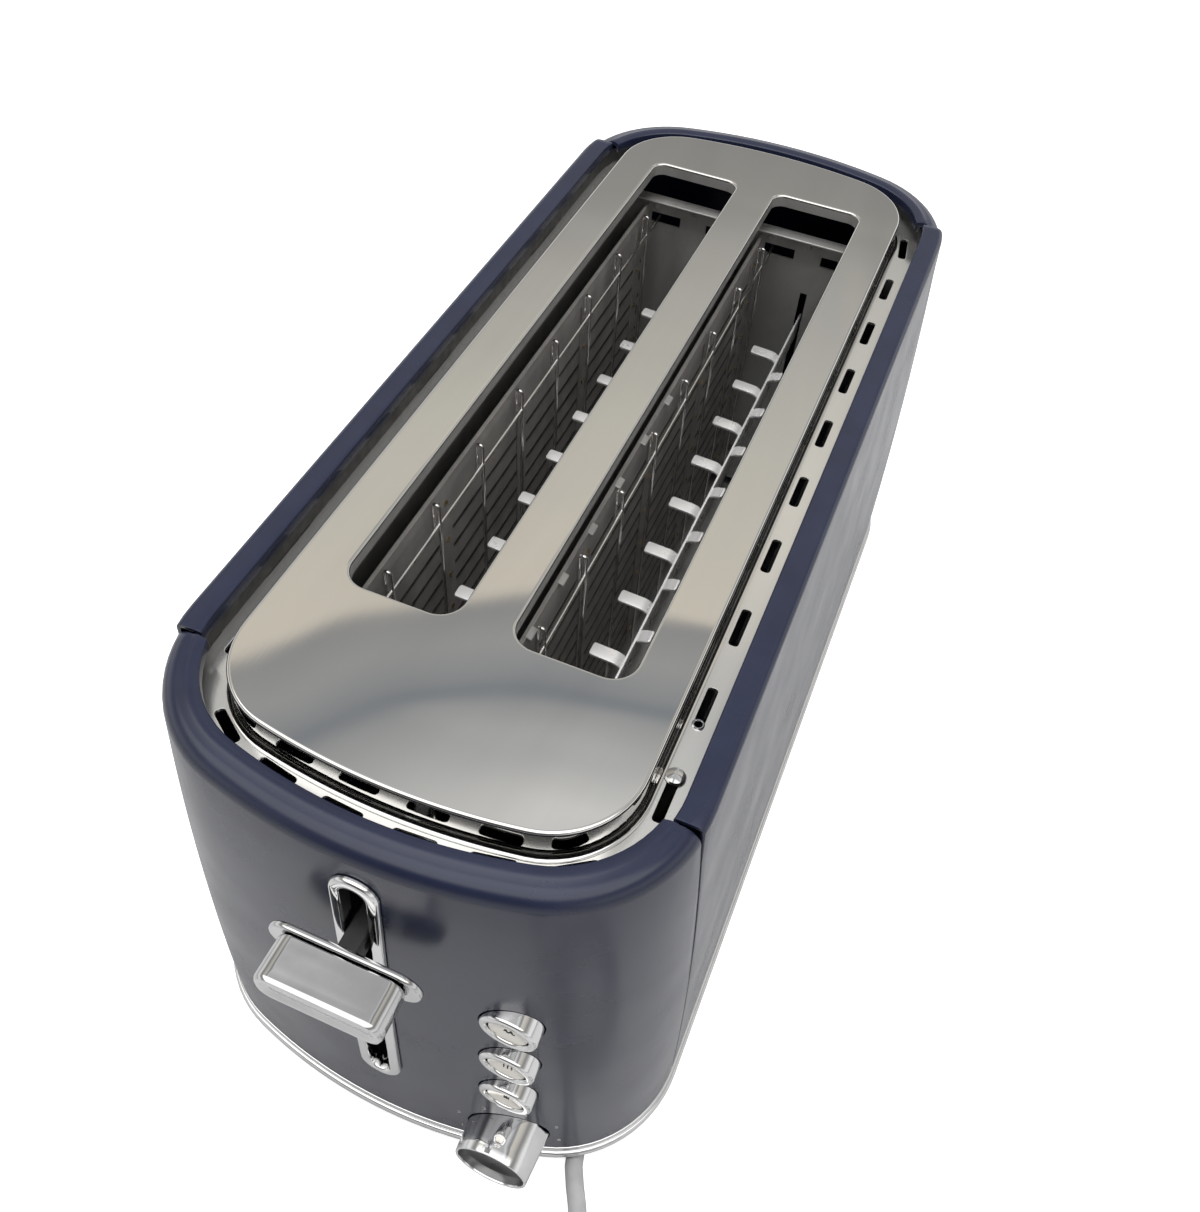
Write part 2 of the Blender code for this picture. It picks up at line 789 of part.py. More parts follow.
def slot_loop(side, grow):
    loop = rounded_rectangle(slot_width / 2 + grow, slot_length / 2 + grow, slot_corner_radius + grow)
    return [(side * slot_x + x, slot_shift + y) for x, y in loop]


inside = [(x, y) for x, y, z in inset_outline(plate_sizes, plate_edge_radius, 0)]
around_slots = flat("around_slots", [inside, slot_loop(-1, slot_lip_wall), slot_loop(1, slot_lip_wall)],
                    skirt_bottom - overrun, plate_top - plate_thickness)
below_lips = flat("below_lips", [inside], skirt_bottom - overrun, plate_top - slot_lip_depth)
slot_cutters = [flat("slot", [slot_loop(side, 0)], skirt_bottom - overrun, plate_top + overrun)
                for side in (-1, 1)]
top_plate = cut(top_plate, around_slots, below_lips, *slot_cutters)

# Chassis plates, with slots for the lifts and the guards
chassis_top = deck_underside - chassis_top_drop
leg_inner = chassis_half_width - chassis_leg_width
arch_top = shell_bottom + chassis_arch_height / 2
chassis_outline = [(-chassis_half_width, floor_top + joint_gap), (-leg_inner, floor_top + joint_gap),
                   (-leg_inner, arch_top), (leg_inner, arch_top), (leg_inner, floor_top + joint_gap),
                   (chassis_half_width, floor_top + joint_gap),
                   (chassis_half_width, chassis_top - chassis_shoulder),
                   (chassis_top_half_width, chassis_top), (-chassis_top_half_width, chassis_top),
                   (-chassis_half_width, chassis_top - chassis_shoulder)]


def rectangle(left, right, low, high):
    return [(left, low), (right, low), (right, high), (left, high)]


guard_rests = []
for side in (-1, 1):
    for inward in (1, -1):
        guard_rests.append((side * slot_x - inward * guard_offset, inward))
chassis_loops = [chassis_outline]
for side in (-1, 1):
    half_gap = lift_thickness / 2 + lift_slot_gap
    band_x = side * slot_x + lift_band_shift
    chassis_loops.append(rectangle(band_x - half_gap, band_x + half_gap,
                                   lift_level - press_travel - lift_depth - lift_slot_gap,
                                   lift_level + lift_travel + lift_slot_gap))
for rest, inward in guard_rests:
    ends = (rest - inward * guard_slot_outward, rest + inward * guard_slot_inward)
    for low in (guard_bottom, guard_wire_top - wire_size):
        chassis_loops.append(rectangle(min(ends), max(ends), low - slide_gap, low - slide_gap + guard_slot_height))
flat("front_chassis_plate", chassis_loops, -front_chassis_y, -front_chassis_y + chassis_thickness,
     plated_steel, upright)
flat("rear_chassis_plate", chassis_loops, -rear_chassis_y - chassis_thickness,
     -rear_chassis_y, plated_steel, upright)

# Heater boards and side shields stand between the chassis plates
bay_front = front_chassis_y + joint_gap
bay_rear = rear_chassis_y - joint_gap
heater_x = slot_width / 2 + heater_clearance
number = 0
for side in (-1, 1):
    for reach in (-heater_x, heater_x):
        number += 1
        middle = side * slot_x + reach
        box(f"heater_board_{number}", (middle - heater_thickness / 2, bay_front, heater_bottom),
            (middle + heater_thickness / 2, bay_rear, plate_top - heater_top_drop), mica)
for side, word in ((-1, "left"), (1, "right")):
    box(f"side_heat_shield_{word}", (side * shield_x - shield_thickness / 2, bay_front, shield_bottom),
        (side * shield_x + shield_thickness / 2, bay_rear, plate_top - shield_top_drop), plated_steel)


# Guards: a grid whose long wires run through slots in both chassis plates
def guard_loops():
    half = wire_size / 2
    columns = [slot_shift + guard_column_shift + guard_column_pitch * (index - (guard_column_count - 1) / 2)
               for index in range(guard_column_count)]
    front, rear = columns[0] - half, columns[-1] + half
    tail_front = front_chassis_y - chassis_thickness - guard_tail
    tail_rear = rear_chassis_y + chassis_thickness + guard_tail
    frame = [(tail_front, guard_bottom), (tail_rear, guard_bottom),
             (tail_rear, guard_bottom + wire_size), (rear, guard_bottom + wire_size),
             (rear, guard_wire_top - wire_size), (tail_rear, guard_wire_top - wire_size),
             (tail_rear, guard_wire_top)]
    for column in reversed(columns):
        frame += [(column + half, guard_wire_top), (column + half, guard_top),
                  (column - half, guard_top), (column - half, guard_wire_top)]
    frame += [(tail_front, guard_wire_top),
              (tail_front, guard_wire_top - wire_size), (front, guard_wire_top - wire_size),
              (front, guard_bottom + wire_size), (tail_front, guard_bottom + wire_size)]
    gaps = [rectangle(first + half, second - half, guard_bottom + wire_size, guard_wire_top - wire_size)
            for first, second in zip(columns, columns[1:])]
    return [frame] + gaps


guards = []
for number, (rest, inward) in enumerate(guard_rests, 1):
    guard = flat(f"bread_guard_{number}", guard_loops(), rest - wire_size / 2, rest + wire_size / 2,
                 plated_steel, sideways)
    guards.append(guard)


# Bread lifts: a band on edge with tabs bent out along its top
def lift_comb(x, shift):
    band_x = x + lift_band_shift
    half_spine = lift_spine_width / 2
    half_tab = lift_tab_width / 2
    tabs = [slot_shift + shift + lift_tab_pitch * (index - (lift_tab_count - 1) / 2)
            for index in range(lift_tab_count)]
    mids = [(first + second) / 2 for first, second in zip(tabs, tabs[1:])]
    start, end = tabs[0] - lift_tab_width, tabs[-1] + lift_tab_width
    loop = [(band_x + half_spine, start)]
    for y in mids:
        loop += [(band_x + half_spine, y - half_tab), (x + lift_right_reach, y - half_tab),
                 (x + lift_right_reach, y + half_tab), (band_x + half_spine, y + half_tab)]
    loop += [(band_x + half_spine, end), (band_x - half_spine, end)]
    for y in reversed(tabs):
        loop += [(band_x - half_spine, y + half_tab), (x - lift_left_reach, y + half_tab),
                 (x - lift_left_reach, y - half_tab), (band_x - half_spine, y - half_tab)]
    loop.append((band_x - half_spine, start))
    return loop


lifts = []
for side, word, shift in ((-1, "left", lift_tab_shifts[0]), (1, "right", lift_tab_shifts[1])):
    x = side * slot_x
    comb = flat(f"bread_lift_{word}", [lift_comb(x, shift)], lift_level - lift_thickness, lift_level, plated_steel)
    band_x = x + lift_band_shift
    band = box("band", (band_x - lift_thickness / 2, carriage_rear_y + joint_gap, lift_level - lift_depth),
               (band_x + lift_thickness / 2, rear_chassis_y + chassis_thickness + lift_tail,
                lift_level - lift_thickness / 2))
    lifts.append(join(comb, band))

# Carriage, its guide rods and its spring
carriage_top = lever_height + stem_height / 2 - carriage_top_drop
carriage_bottom = carriage_top - carriage_height
carriage_block = box("carriage_block", (-carriage_half_width, carriage_front_y, carriage_bottom),
                     (carriage_half_width, carriage_rear_y, carriage_top), plated_steel)
rod_holes = [rod("rod_hole", (side * guide_rod_x, rod_y, carriage_bottom - overrun),
                 (side * guide_rod_x, rod_y, carriage_top + overrun), guide_rod_radius + rod_clearance)
             for side in (-1, 1)]
carriage_block = cut(carriage_block, *rod_holes)
for side, word in ((-1, "left"), (1, "right")):
    rod(f"guide_rod_{word}", (side * guide_rod_x, rod_y, floor_top + joint_gap),
        (side * guide_rod_x, rod_y, deck_underside - joint_gap), guide_rod_radius, plated_steel)
spring = rod("carriage_spring", (spring_x, rod_y, carriage_top + joint_gap),
             (spring_x, rod_y, deck_underside - joint_gap), spring_radius, plated_steel, sides=12)

# Electromagnet on the front chassis plate, and the armature under the carriage
magnet_front_y = front_chassis_y - chassis_thickness - joint_gap
magnet_top = carriage_bottom - press_travel - armature_thickness - 2 * joint_gap - slide_gap
magnet = box("electromagnet", (-magnet_half_width, carriage_front_y, magnet_top - magnet_height),
             (magnet_half_width, magnet_front_y, magnet_top), copper_winding)
armature = box("armature_plate",
               (-armature_half_width, carriage_front_y, carriage_bottom - joint_gap - armature_thickness),
               (armature_half_width, carriage_rear_y, carriage_bottom - joint_gap), plated_steel)

# Lever: the flange stands clear of the panel all the way down
lowest_lever = lever_height - press_travel - flange_half_height
flange_back_y = front_surface(0, lowest_lever) - escutcheon_proud - flange_clearance
flange_front_y = flange_back_y - flange_thickness
stem = box("lever_stem", (lever_x - stem_width / 2, flange_back_y + joint_gap, lever_height - stem_height / 2),
           (lever_x + stem_width / 2, carriage_front_y - joint_gap, lever_height + stem_height / 2),
           black_plastic)


def front_ring(loop, y):
    return [(lever_x + x, y, lever_height + z) for x, z in loop]


def flange_ring(inset, y):
    half = flange_half_height - inset
    return front_ring(rounded_rectangle(flange_half_width - inset, half, half, 8), y)


flange = loft("lever_flange", [flange_ring(flange_edge, flange_back_y),
                               flange_ring(0, flange_back_y - flange_edge),
                               flange_ring(0, flange_front_y + flange_edge),
                               flange_ring(flange_edge, flange_front_y)], chrome)


def knob_ring(inset, y):
    return front_ring(rounded_rectangle(knob_half_width - inset, knob_half_height - inset,
                                        knob_corner_radius - inset, 6), y)


knob_back_y = flange_front_y - joint_gap
knob_front_y = knob_back_y - knob_length
lever_knob = loft("lever_knob", [knob_ring(0, knob_back_y),
                                 knob_ring(0, knob_front_y + knob_front_edge),
                                 knob_ring(knob_front_edge / 3, knob_front_y + knob_front_edge / 3),
                                 knob_ring(knob_front_edge, knob_front_y),
                                 knob_ring(knob_front_edge * 2, knob_front_y),
                                 knob_ring(knob_front_edge * 3, knob_front_y + knob_dish)], chrome)

# Escutcheon: a chrome ring that follows the bowed front
escutcheon_profile = [(0, -escutcheon_sleeve_depth), (0, escutcheon_proud - escutcheon_edge),
                      (escutcheon_edge, escutcheon_proud),
                      (escutcheon_band - escutcheon_edge, escutcheon_proud),
                      (escutcheon_band, escutcheon_proud - escutcheon_edge),
                      (escutcheon_band, joint_gap), (escutcheon_sleeve, joint_gap),
                      (escutcheon_sleeve, -escutcheon_sleeve_depth)]
escutcheon_rings = []
for grow, proud in escutcheon_profile:
    loop = pill(lever_slot_half_width + grow, lever_slot_top + grow, lever_slot_bottom - grow)
    escutcheon_rings.append([(lever_x + x, front_surface(lever_x + x, z) - proud, z) for x, z in loop])
loft("lever_escutcheon", escutcheon_rings, chrome, closed=True)

# Control board on two spacers
board_front_y = front_chassis_y - chassis_thickness - board_clearance
board_rear_y = board_front_y + board_thickness
board_left = control_x - board_half_width
board_right = control_x + board_half_width
board_top = button_heights[0] + board_margin
box("control_board", (board_left, board_front_y, board_bottom), (board_right, board_rear_y, board_top), board_green)
spacer_places = (board_left + spacer_inset + carriage_half_width - board_left, board_right - spacer_inset)
for number, x in enumerate(spacer_places, 1):
    rod(f"board_spacer_{number}", (x, board_rear_y + joint_gap, spacer_height),
        (x, front_chassis_y - chassis_thickness - joint_gap, spacer_height), spacer_radius, plated_steel, sides=12)

# Push buttons: a chrome barrel with a raised ring round a polished disc
buttons = []
for number, height in enumerate(button_heights, 1):
    face_y = front_surface(control_x, height) - button_proud
    length = face_y * -1 + board_front_y - button_travel - slide_gap
    dish_radius = button_radius - button_ring
    barrel = turned(f"button_{number}", [(0, -button_dish_depth), (dish_radius, -button_dish_depth),
                                         (dish_radius, -button_ring_edge / 2),
                                         (dish_radius + button_ring_edge / 2, 0),
                                         (button_radius - button_ring_edge, 0),
                                         (button_radius, -button_ring_edge),
                                         (button_radius, -length), (0, -length)], chrome)
    cap = turned(f"button_cap_{number}", [(0, button_cap_thickness), (dish_radius - joint_gap, button_cap_thickness),
                                          (dish_radius - joint_gap, 0), (0, 0)], cream_cap)
    axis = bpy.data.objects.new(f"button_axis_{number}", None)
    parts.objects.link(axis)
    axis.location = (control_x, face_y, height)
    axis.rotation_euler = (math.pi / 2, 0, 0)
    barrel.parent = axis
    cap.parent = axis
    cap.location = (0, 0, -button_dish_depth + joint_gap)
    buttons.append(axis)

# Browning knob: a cup with a flat on its side, on an axis square to the leaning panel
browning_face = browning_seat + outward * browning_proud
pot_face = (board_front_y - joint_gap - pot_depth - browning_seat.y) / math.cos(browning_lean)
shaft_end = browning_proud + pot_face - slide_gap
cup = turned("browning_knob", [(0, -browning_dish_depth),
                               (browning_dish_radius - browning_edge, -browning_dish_depth),
                               (browning_dish_radius, -browning_edge),
                               (browning_dish_radius + browning_edge / 2, 0),
                               (browning_face_radius - browning_edge, 0),
                               (browning_face_radius, -browning_edge),
                               (browning_radius, -browning_proud),
                               (browning_radius, -browning_length),
                               (browning_shaft_radius, -browning_length),
                               (browning_shaft_radius, -shaft_end), (0, -shaft_end)], chrome, steps=32)
cup = bake(cup)
flat_reach = browning_radius - pointer_depth
side_cut = box("side_cut", (flat_reach, -browning_radius, -browning_length - overrun),
               (flat_reach + overrun, browning_radius, overrun))
side_cut.rotation_euler = (0, 0, pointer_angle)
bpy.context.view_layer.update()
browning_knob = cut(cup, side_cut)
browning_axis = bpy.data.objects.new("browning_axis", None)
parts.objects.link(browning_axis)
browning_axis.location = browning_face
browning_axis.rotation_euler = (math.pi / 2 - browning_lean, 0, 0)
browning_knob.parent = browning_axis

# The potentiometer and the bush that carries the knob's shaft
pot_front = browning_seat - outward * pot_face
pot_back = pot_front - outward * (pot_depth - pot_radius * math.sin(browning_lean))
rod("potentiometer", pot_front, pot_back, pot_radius, plated_steel)
bush = rod("potentiometer_bush", pot_front + outward * (joint_gap + bush_length), pot_front + outward * joint_gap,
           browning_shaft_radius + slide_gap + bush_wall, brass)
cut(bush, rod("bush_bore", pot_front + outward * (bush_length + overrun), pot_front - outward * overrun,
              browning_shaft_radius + slide_gap))

# Crumb tray: a shallow pan with a bowed grip at the rear
crumb_rear_y = front_surface(crumb_half_width, shell_bottom) * -1 - shell_wall * 2
pan = box("crumb_tray", (-crumb_half_width, -crumb_front, crumb_floor),
          (crumb_half_width, crumb_rear_y, crumb_top), plated_steel)
grip_block = box("grip_block", (-crumb_half_width, crumb_rear_y - crumb_wall * 2, crumb_floor),
                 (crumb_half_width, base_half_length + overrun, crumb_top))
grip_limit = loft("grip_limit", [inset_outline(base_sizes, -crumb_grip_proud, crumb_floor - overrun),
                                 inset_outline(base_sizes, -crumb_grip_proud, crumb_top + overrun)])
grip = combine(grip_block, [grip_limit], "INTERSECT")
pan = join(pan, grip)
scoop = box("scoop", (-crumb_half_width + crumb_wall, -crumb_front + crumb_wall, crumb_floor + crumb_wall),
            (crumb_half_width - crumb_wall, crumb_rear_y - crumb_wall * 2, crumb_top + overrun))
crumb_tray = cut(pan, scoop)
crumb_tray.name = "crumb_tray"

# Strain relief in the pocket, sloping down toward the floor
relief_way = Vector((0, -math.cos(relief_slope), -math.sin(relief_slope)))
relief_setback = joint_gap + relief_root_radius * math.sin(relief_slope)
relief_start = Vector((relief_x, -pocket_rear_y - relief_setback, relief_height))
relief_end = relief_start + relief_way * relief_length
rod("cord_strain_relief", relief_start, relief_end, relief_root_radius, black_rubber,
    sides=16, end_radius=relief_end_radius)


def spline(points, spacing):
    """Points at an even spacing on a smooth curve through the given ones."""
    points = [Vector(point) for point in points]
    padded = [points[0] * 2 - points[1]] + points + [points[-1] * 2 - points[-2]]
    steps = 24
    dense = []
    for index in range(1, len(padded) - 2):
        p0, p1, p2, p3 = padded[index - 1:index + 3]
        for step in range(steps):
            t = step / steps
            dense.append(0.5 * (2 * p1 + (p2 - p0) * t + (2 * p0 - 5 * p1 + 4 * p2 - p3) * t ** 2
                                + (3 * p1 - p0 - 3 * p2 + p3) * t ** 3))
    dense.append(points[-1])
    total = sum((b - a).length for a, b in zip(dense, dense[1:]))
    count = max(round(total / spacing), 2)
    even, walked, target = [dense[0]], 0, total / count
    for a, b in zip(dense, dense[1:]):
        step = (b - a).length
        while walked + step >= target and len(even) < count:
            even.append(a + (b - a) * ((target - walked) / step))
            target += total / count
        walked += step
    even.append(dense[-1])
    return even, total


def tube(name, points, look, resolution=2):
    curve = bpy.data.curves.new(name, "CURVE")
    curve.dimensions = "3D"
    curve.bevel_depth = cord_diameter / 2
    curve.bevel_resolution = resolution
    curve.use_fill_caps = True
    line = curve.splines.new("POLY")
    line.points.add(len(points) - 1)
    for target, point in zip(line.points, points):
        target.co = (*point, 1)
    curve.materials.append(look)
    made = bpy.data.objects.new(name, curve)
    parts.objects.link(made)
    return made


# The coil: in along the floor, up a layer where it turns back, and out again
cord_radius = cord_diameter / 2
turn_step = cord_diameter + coil_turn_gap
outer_radius = coil_mean_radius + turn_step * coil_turns_each_layer / 2
inner_radius = outer_radius - turn_step * coil_turns_each_layer


def coil_place(turns):
    """Where the coil is after so many turns from its start on the floor."""
    back = coil_turns_each_layer + 0.5
    if turns <= coil_turns_each_layer:
        radius, climb = outer_radius - turn_step * turns, 0
    elif turns <= back:
        share = (turns - coil_turns_each_layer) / (back - coil_turns_each_layer)
        dip = min(share, 1 - share) * 0.5
        radius, climb = inner_radius - turn_step * dip, share
    else:
        radius, climb = inner_radius + turn_step * (turns - back), 1
    turn = math.pi + math.tau * turns
    return Vector((coil_x + radius * math.cos(turn), coil_y + radius * math.sin(turn),
                   cord_radius + turn_step * climb))


all_turns = coil_turns_each_layer * 2 + 0.5
coil_steps = round(all_turns * coil_points_each_turn)
coil_points = [coil_place(all_turns * step / coil_steps) for step in range(coil_steps + 1)]
first_way = (coil_points[0] - coil_points[1]).normalized()
last_way = (coil_points[-1] - coil_points[-2]).normalized()
coil_start = coil_points[0] + first_way * cord_diameter
coil_end = coil_points[-1] + last_way * cord_diameter
coil_points = [coil_start] + coil_points + [coil_end]
tube("cord_coil", coil_points, grey_rubber, 1)


def least_gap(points):
    """The least clear space between a tube's parts that aren't neighbours."""
    fine_points = []
    pieces = 4
    for a, b in zip(points, points[1:]):
        fine_points += [a + (b - a) * (step / pieces) for step in range(pieces)]
    apart = round(cord_diameter * 4 / (fine_points[1] - fine_points[0]).length)
    least = min((fine_points[i] - fine_points[j]).length
                for i in range(len(fine_points)) for j in range(i + apart, len(fine_points)))
    return least - cord_diameter


print("least gap of the coil to itself:", round(least_gap(coil_points) / joint_gap, 2), "joint gaps")

# The free stretches, on smooth curves through chosen points
run_route = [relief_end + relief_way * joint_gap,
             relief_end + relief_way * (joint_gap + cord_diameter),
             *[(x, -base_half_length - ahead, cord_radius) for x, ahead in run_waypoints_ahead],
             coil_start + first_way * (joint_gap + cord_diameter),
             coil_start + first_way * joint_gap]
run_points, run_length = spline(run_route, cord_diameter * 2)
tube("cord_run", run_points, grey_rubber)
tail_route = [coil_end + last_way * joint_gap,
              coil_end + last_way * (joint_gap + cord_diameter),
              *[(x, -base_half_length - ahead, height) for x, ahead, height in tail_waypoints_ahead]]
tail_points, tail_length = spline(tail_route, cord_diameter * 2)
tail_way = (tail_points[-1] - tail_points[-2]).normalized()
plug_way = Vector((tail_way.x, tail_way.y, 0)).normalized()
tail_points.append(tail_points[-1] + plug_way * cord_diameter)
tube("cord_tail", tail_points, grey_rubber)
coil_length = sum((b - a).length for a, b in zip(coil_points, coil_points[1:]))

# Moulded plug lying on the floor at the cord's end
plug_start = tail_points[-1] + plug_way * joint_gap
plug_across = Vector((-plug_way.y, plug_way.x, 0))


def plug_ring(distance, half_x, half_z, radius):
    loop = rounded_rectangle(half_x, half_z, radius, 4)
    return [tuple(plug_start + plug_way * distance + plug_across * x + Vector((0, 0, z))) for x, z in loop]


neck = plug_neck_radius
plug_end = plug_neck_length + plug_length
loft("plug_body", [plug_ring(0, neck, neck, neck * 0.98),
                   plug_ring(plug_neck_length * 0.6, neck, neck, neck * 0.98),
                   plug_ring(plug_neck_length, plug_half_width * 0.75, plug_half_height * 0.85, plug_corner_radius),
                   plug_ring(plug_neck_length * 1.25, plug_half_width, plug_half_height, plug_corner_radius),
                   plug_ring(plug_end, plug_half_width, plug_half_height, plug_corner_radius)], black_rubber)
plug_turn = math.atan2(plug_way.y, plug_way.x) - math.pi / 2


def on_plug(item):
    place = Matrix.Translation(plug_start + plug_way * (plug_end + joint_gap)) @ Matrix.Rotation(plug_turn, 4, "Z")
    item.data.transform(place)
    return item


for number, side in enumerate((-1, 1), 1):
    middle = side * blade_spacing / 2
    on_plug(box(f"plug_blade_{number}", (middle - blade_thickness / 2, 0, -blade_width / 2),
                (middle + blade_thickness / 2, blade_length, blade_width / 2), brass))
# The earth pin stands above the blades' centre line
pin_height = plug_half_height - earth_pin_radius * 2
on_plug(rod("plug_earth_pin", (0, 0, pin_height), (0, earth_pin_length, pin_height), earth_pin_radius, brass,
            sides=12))

print("cord length, m:", round(run_length + coil_length + tail_length + relief_length, 3))

# Parent everything to a root that centres the object, less its cord, on the origin
root = bpy.data.objects.new("toaster_root", None)
parts.objects.link(root)
rear_reach = base_half_length + max(trim_proud, crumb_grip_proud)
front_most = -min(knob_front_y, browning_face.y - browning_face_radius * math.sin(browning_lean))
carriage_axis = bpy.data.objects.new("carriage_axis", None)
parts.objects.link(carriage_axis)
carriage_axis.location = (0, rod_y, carriage_top)
crumb_axis = bpy.data.objects.new("crumb_axis", None)
parts.objects.link(crumb_axis)
crumb_axis.location = (0, crumb_rear_y, crumb_floor)
moving = {carriage_axis: [carriage_block, armature, stem, flange, lever_knob] + lifts,
          crumb_axis: [crumb_tray]}
for number, (guard, (rest, inward)) in enumerate(zip(guards, guard_rests), 1):
    guard_axis = bpy.data.objects.new(f"guard_axis_{number}", None)
    parts.objects.link(guard_axis)
    guard_axis.location = (rest, slot_shift, guard_wire_top)
    moving[guard_axis] = [guard]
for axis, pieces in moving.items():
    for piece in pieces:
        piece.data.transform(Matrix.Translation(-axis.location))
        piece.parent = axis
for item in parts.objects:
    if item.parent is None and item is not root:
        item.parent = root
root.location = (0, (front_most - rear_reach) / 2, 0)
print("root y:", round(root.location.y, 5))
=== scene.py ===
import math

import bmesh
import bpy
from mathutils import Matrix, Vector


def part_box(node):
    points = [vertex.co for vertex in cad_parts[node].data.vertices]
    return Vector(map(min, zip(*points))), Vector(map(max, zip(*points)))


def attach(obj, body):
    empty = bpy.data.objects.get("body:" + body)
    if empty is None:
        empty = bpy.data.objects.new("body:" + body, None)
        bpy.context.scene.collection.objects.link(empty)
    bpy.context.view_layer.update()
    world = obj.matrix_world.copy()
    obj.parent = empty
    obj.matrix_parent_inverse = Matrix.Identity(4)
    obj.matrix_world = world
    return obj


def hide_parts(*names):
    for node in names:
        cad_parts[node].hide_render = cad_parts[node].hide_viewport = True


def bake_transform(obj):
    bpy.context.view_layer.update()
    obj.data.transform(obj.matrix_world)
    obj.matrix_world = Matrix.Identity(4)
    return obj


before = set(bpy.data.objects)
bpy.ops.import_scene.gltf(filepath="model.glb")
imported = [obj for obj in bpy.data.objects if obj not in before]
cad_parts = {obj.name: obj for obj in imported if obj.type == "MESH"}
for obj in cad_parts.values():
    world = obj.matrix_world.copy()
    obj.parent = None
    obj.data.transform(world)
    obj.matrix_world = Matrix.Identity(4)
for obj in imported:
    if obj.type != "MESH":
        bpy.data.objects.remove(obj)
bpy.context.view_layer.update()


def middleOf(node):
    low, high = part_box(node)
    return (Vector(low) + Vector(high)) / 2


middleY = middleOf("base_trim_ring").y  # the shell's own middle, which the lever and knob push off the origin

# the camera stands where the photographer did
view = {"place": (0.09454, -0.2882, 0.44555), "turn": (0.68911, -0.05507, 0.39346), "lens": 33.262,
        "near": 0.01}
bpy.ops.object.camera_add(location=view["place"], rotation=view["turn"])
camera = bpy.context.object
camera.name = "photoCamera"
camera.data.sensor_width = 36
camera.data.lens = view["lens"]
camera.data.clip_start = view["near"]
bpy.context.scene.camera = camera
bpy.context.scene.view_settings.view_transform = "Standard"


# tools: each does what a hand does in edit mode
def sine(degrees):
    return math.sin(math.radians(degrees))


def cosine(degrees):
    return math.cos(math.radians(degrees))


def mix(first, last, share):
    return first + (last - first) * share


def leaveEdit():
    bpy.ops.object.mode_set(mode="OBJECT")


def makeActive(piece):
    if bpy.context.mode != "OBJECT":
        leaveEdit()
    for item in list(bpy.context.selected_objects):
        item.select_set(False)
    if piece:
        piece.select_set(True)
        bpy.context.view_layer.objects.active = piece


def newPrimitive(name, add, **settings):
    makeActive(None)
    add(**settings)
    piece = bpy.context.object
    piece.name = name
    piece.data.name = name
    bpy.ops.object.transform_apply(location=True, rotation=True, scale=True)
    return piece


def pick(piece, test, mode="FACE"):  # into edit mode with only what passes the test selected
    makeActive(piece)
    bpy.ops.object.mode_set(mode="EDIT")
    bpy.ops.mesh.select_mode(type=mode)
    bpy.ops.mesh.select_all(action="DESELECT")
    mesh = bmesh.from_edit_mesh(piece.data)
    mesh.normal_update()
    for part in {"VERT": mesh.verts, "EDGE": mesh.edges, "FACE": mesh.faces}[mode]:
        part.select_set(test(part))
    mesh.select_flush_mode()
    bmesh.update_edit_mesh(piece.data)


def tidyMesh(piece, distance=0.000002):  # merges doubles and turns every face outwards
    makeActive(piece)
    bpy.ops.object.mode_set(mode="EDIT")
    bpy.ops.mesh.select_mode(type="VERT")
    bpy.ops.mesh.select_all(action="SELECT")
    bpy.ops.mesh.remove_doubles(threshold=distance)
    bpy.ops.mesh.normals_make_consistent(inside=False)
    leaveEdit()
    return piece


# a circle extruded from ring to ring, each laid on its own outline
def ringByRing(name, rings, closed=False):
    piece = newPrimitive(name, bpy.ops.mesh.primitive_circle_add, vertices=len(rings[0]), radius=1)
    pick(piece, lambda vert: True, "VERT")
    for number, ring in enumerate(list(rings) + list(rings[:1]) if closed else rings):
        if number:
            bpy.ops.mesh.extrude_region_move()
        mesh = bmesh.from_edit_mesh(piece.data)
        for vert, point in zip([vert for vert in mesh.verts if vert.select], ring):
            vert.co = point
        bmesh.update_edit_mesh(piece.data)
    if not closed:
        bpy.ops.mesh.edge_face_add()
        bpy.ops.mesh.select_all(action="DESELECT")
        bpy.ops.mesh.select_non_manifold(extend=False, use_wire=False, use_multi_face=False,
                                         use_non_contiguous=False, use_verts=False)
        bpy.ops.mesh.edge_face_add()
    return tidyMesh(piece)


def bevelWhere(piece, test, width, segments=2, shape=0.5):
    pick(piece, test, "EDGE")
    bpy.ops.mesh.bevel(offset=width, offset_type="OFFSET", segments=segments, profile=shape, affect="EDGES",
                       clamp_overlap=True)
    leaveEdit()
    return piece


def edgeAngle(edge, least=30):
    return len(edge.link_faces) == 2 and edge.calc_face_angle(0) > math.radians(least)


def bisectAt(piece, point, normal):  # keeps what lies behind the plane, and closes the cut
    pick(piece, lambda face: True)
    bpy.ops.mesh.bisect(plane_co=point, plane_no=normal, use_fill=True, clear_outer=True, threshold=0.000001)
    leaveEdit()
    return piece


def cutWith(piece, *cutters, operation="DIFFERENCE"):
    for cutter in cutters:
        step = piece.modifiers.new(operation.lower(), "BOOLEAN")
        step.operation = operation
        step.solver = "EXACT"
        step.object = cutter
        makeActive(piece)
        bpy.ops.object.modifier_apply(modifier=step.name)
        bpy.data.objects.remove(cutter, do_unlink=True)
    return piece


def copyOf(piece, name, change=None):  # a copy with its own mesh
    makeActive(piece)
    bpy.ops.object.duplicate(linked=False)
    made = bpy.context.object
    made.name = name
    made.data.name = name
    if change:
        made.data.transform(change)
        if change.determinant() < 0:
            made.data.flip_normals()
    return made


mirrorX = Matrix.Scale(-1, 4, (1, 0, 0))


def joinAll(name, pieces):
    makeActive(pieces[0])
    for piece in pieces:
        piece.select_set(True)
    if len(pieces) > 1:
        bpy.ops.object.join()
    pieces[0].name = name
    pieces[0].data.name = name
    return pieces[0]


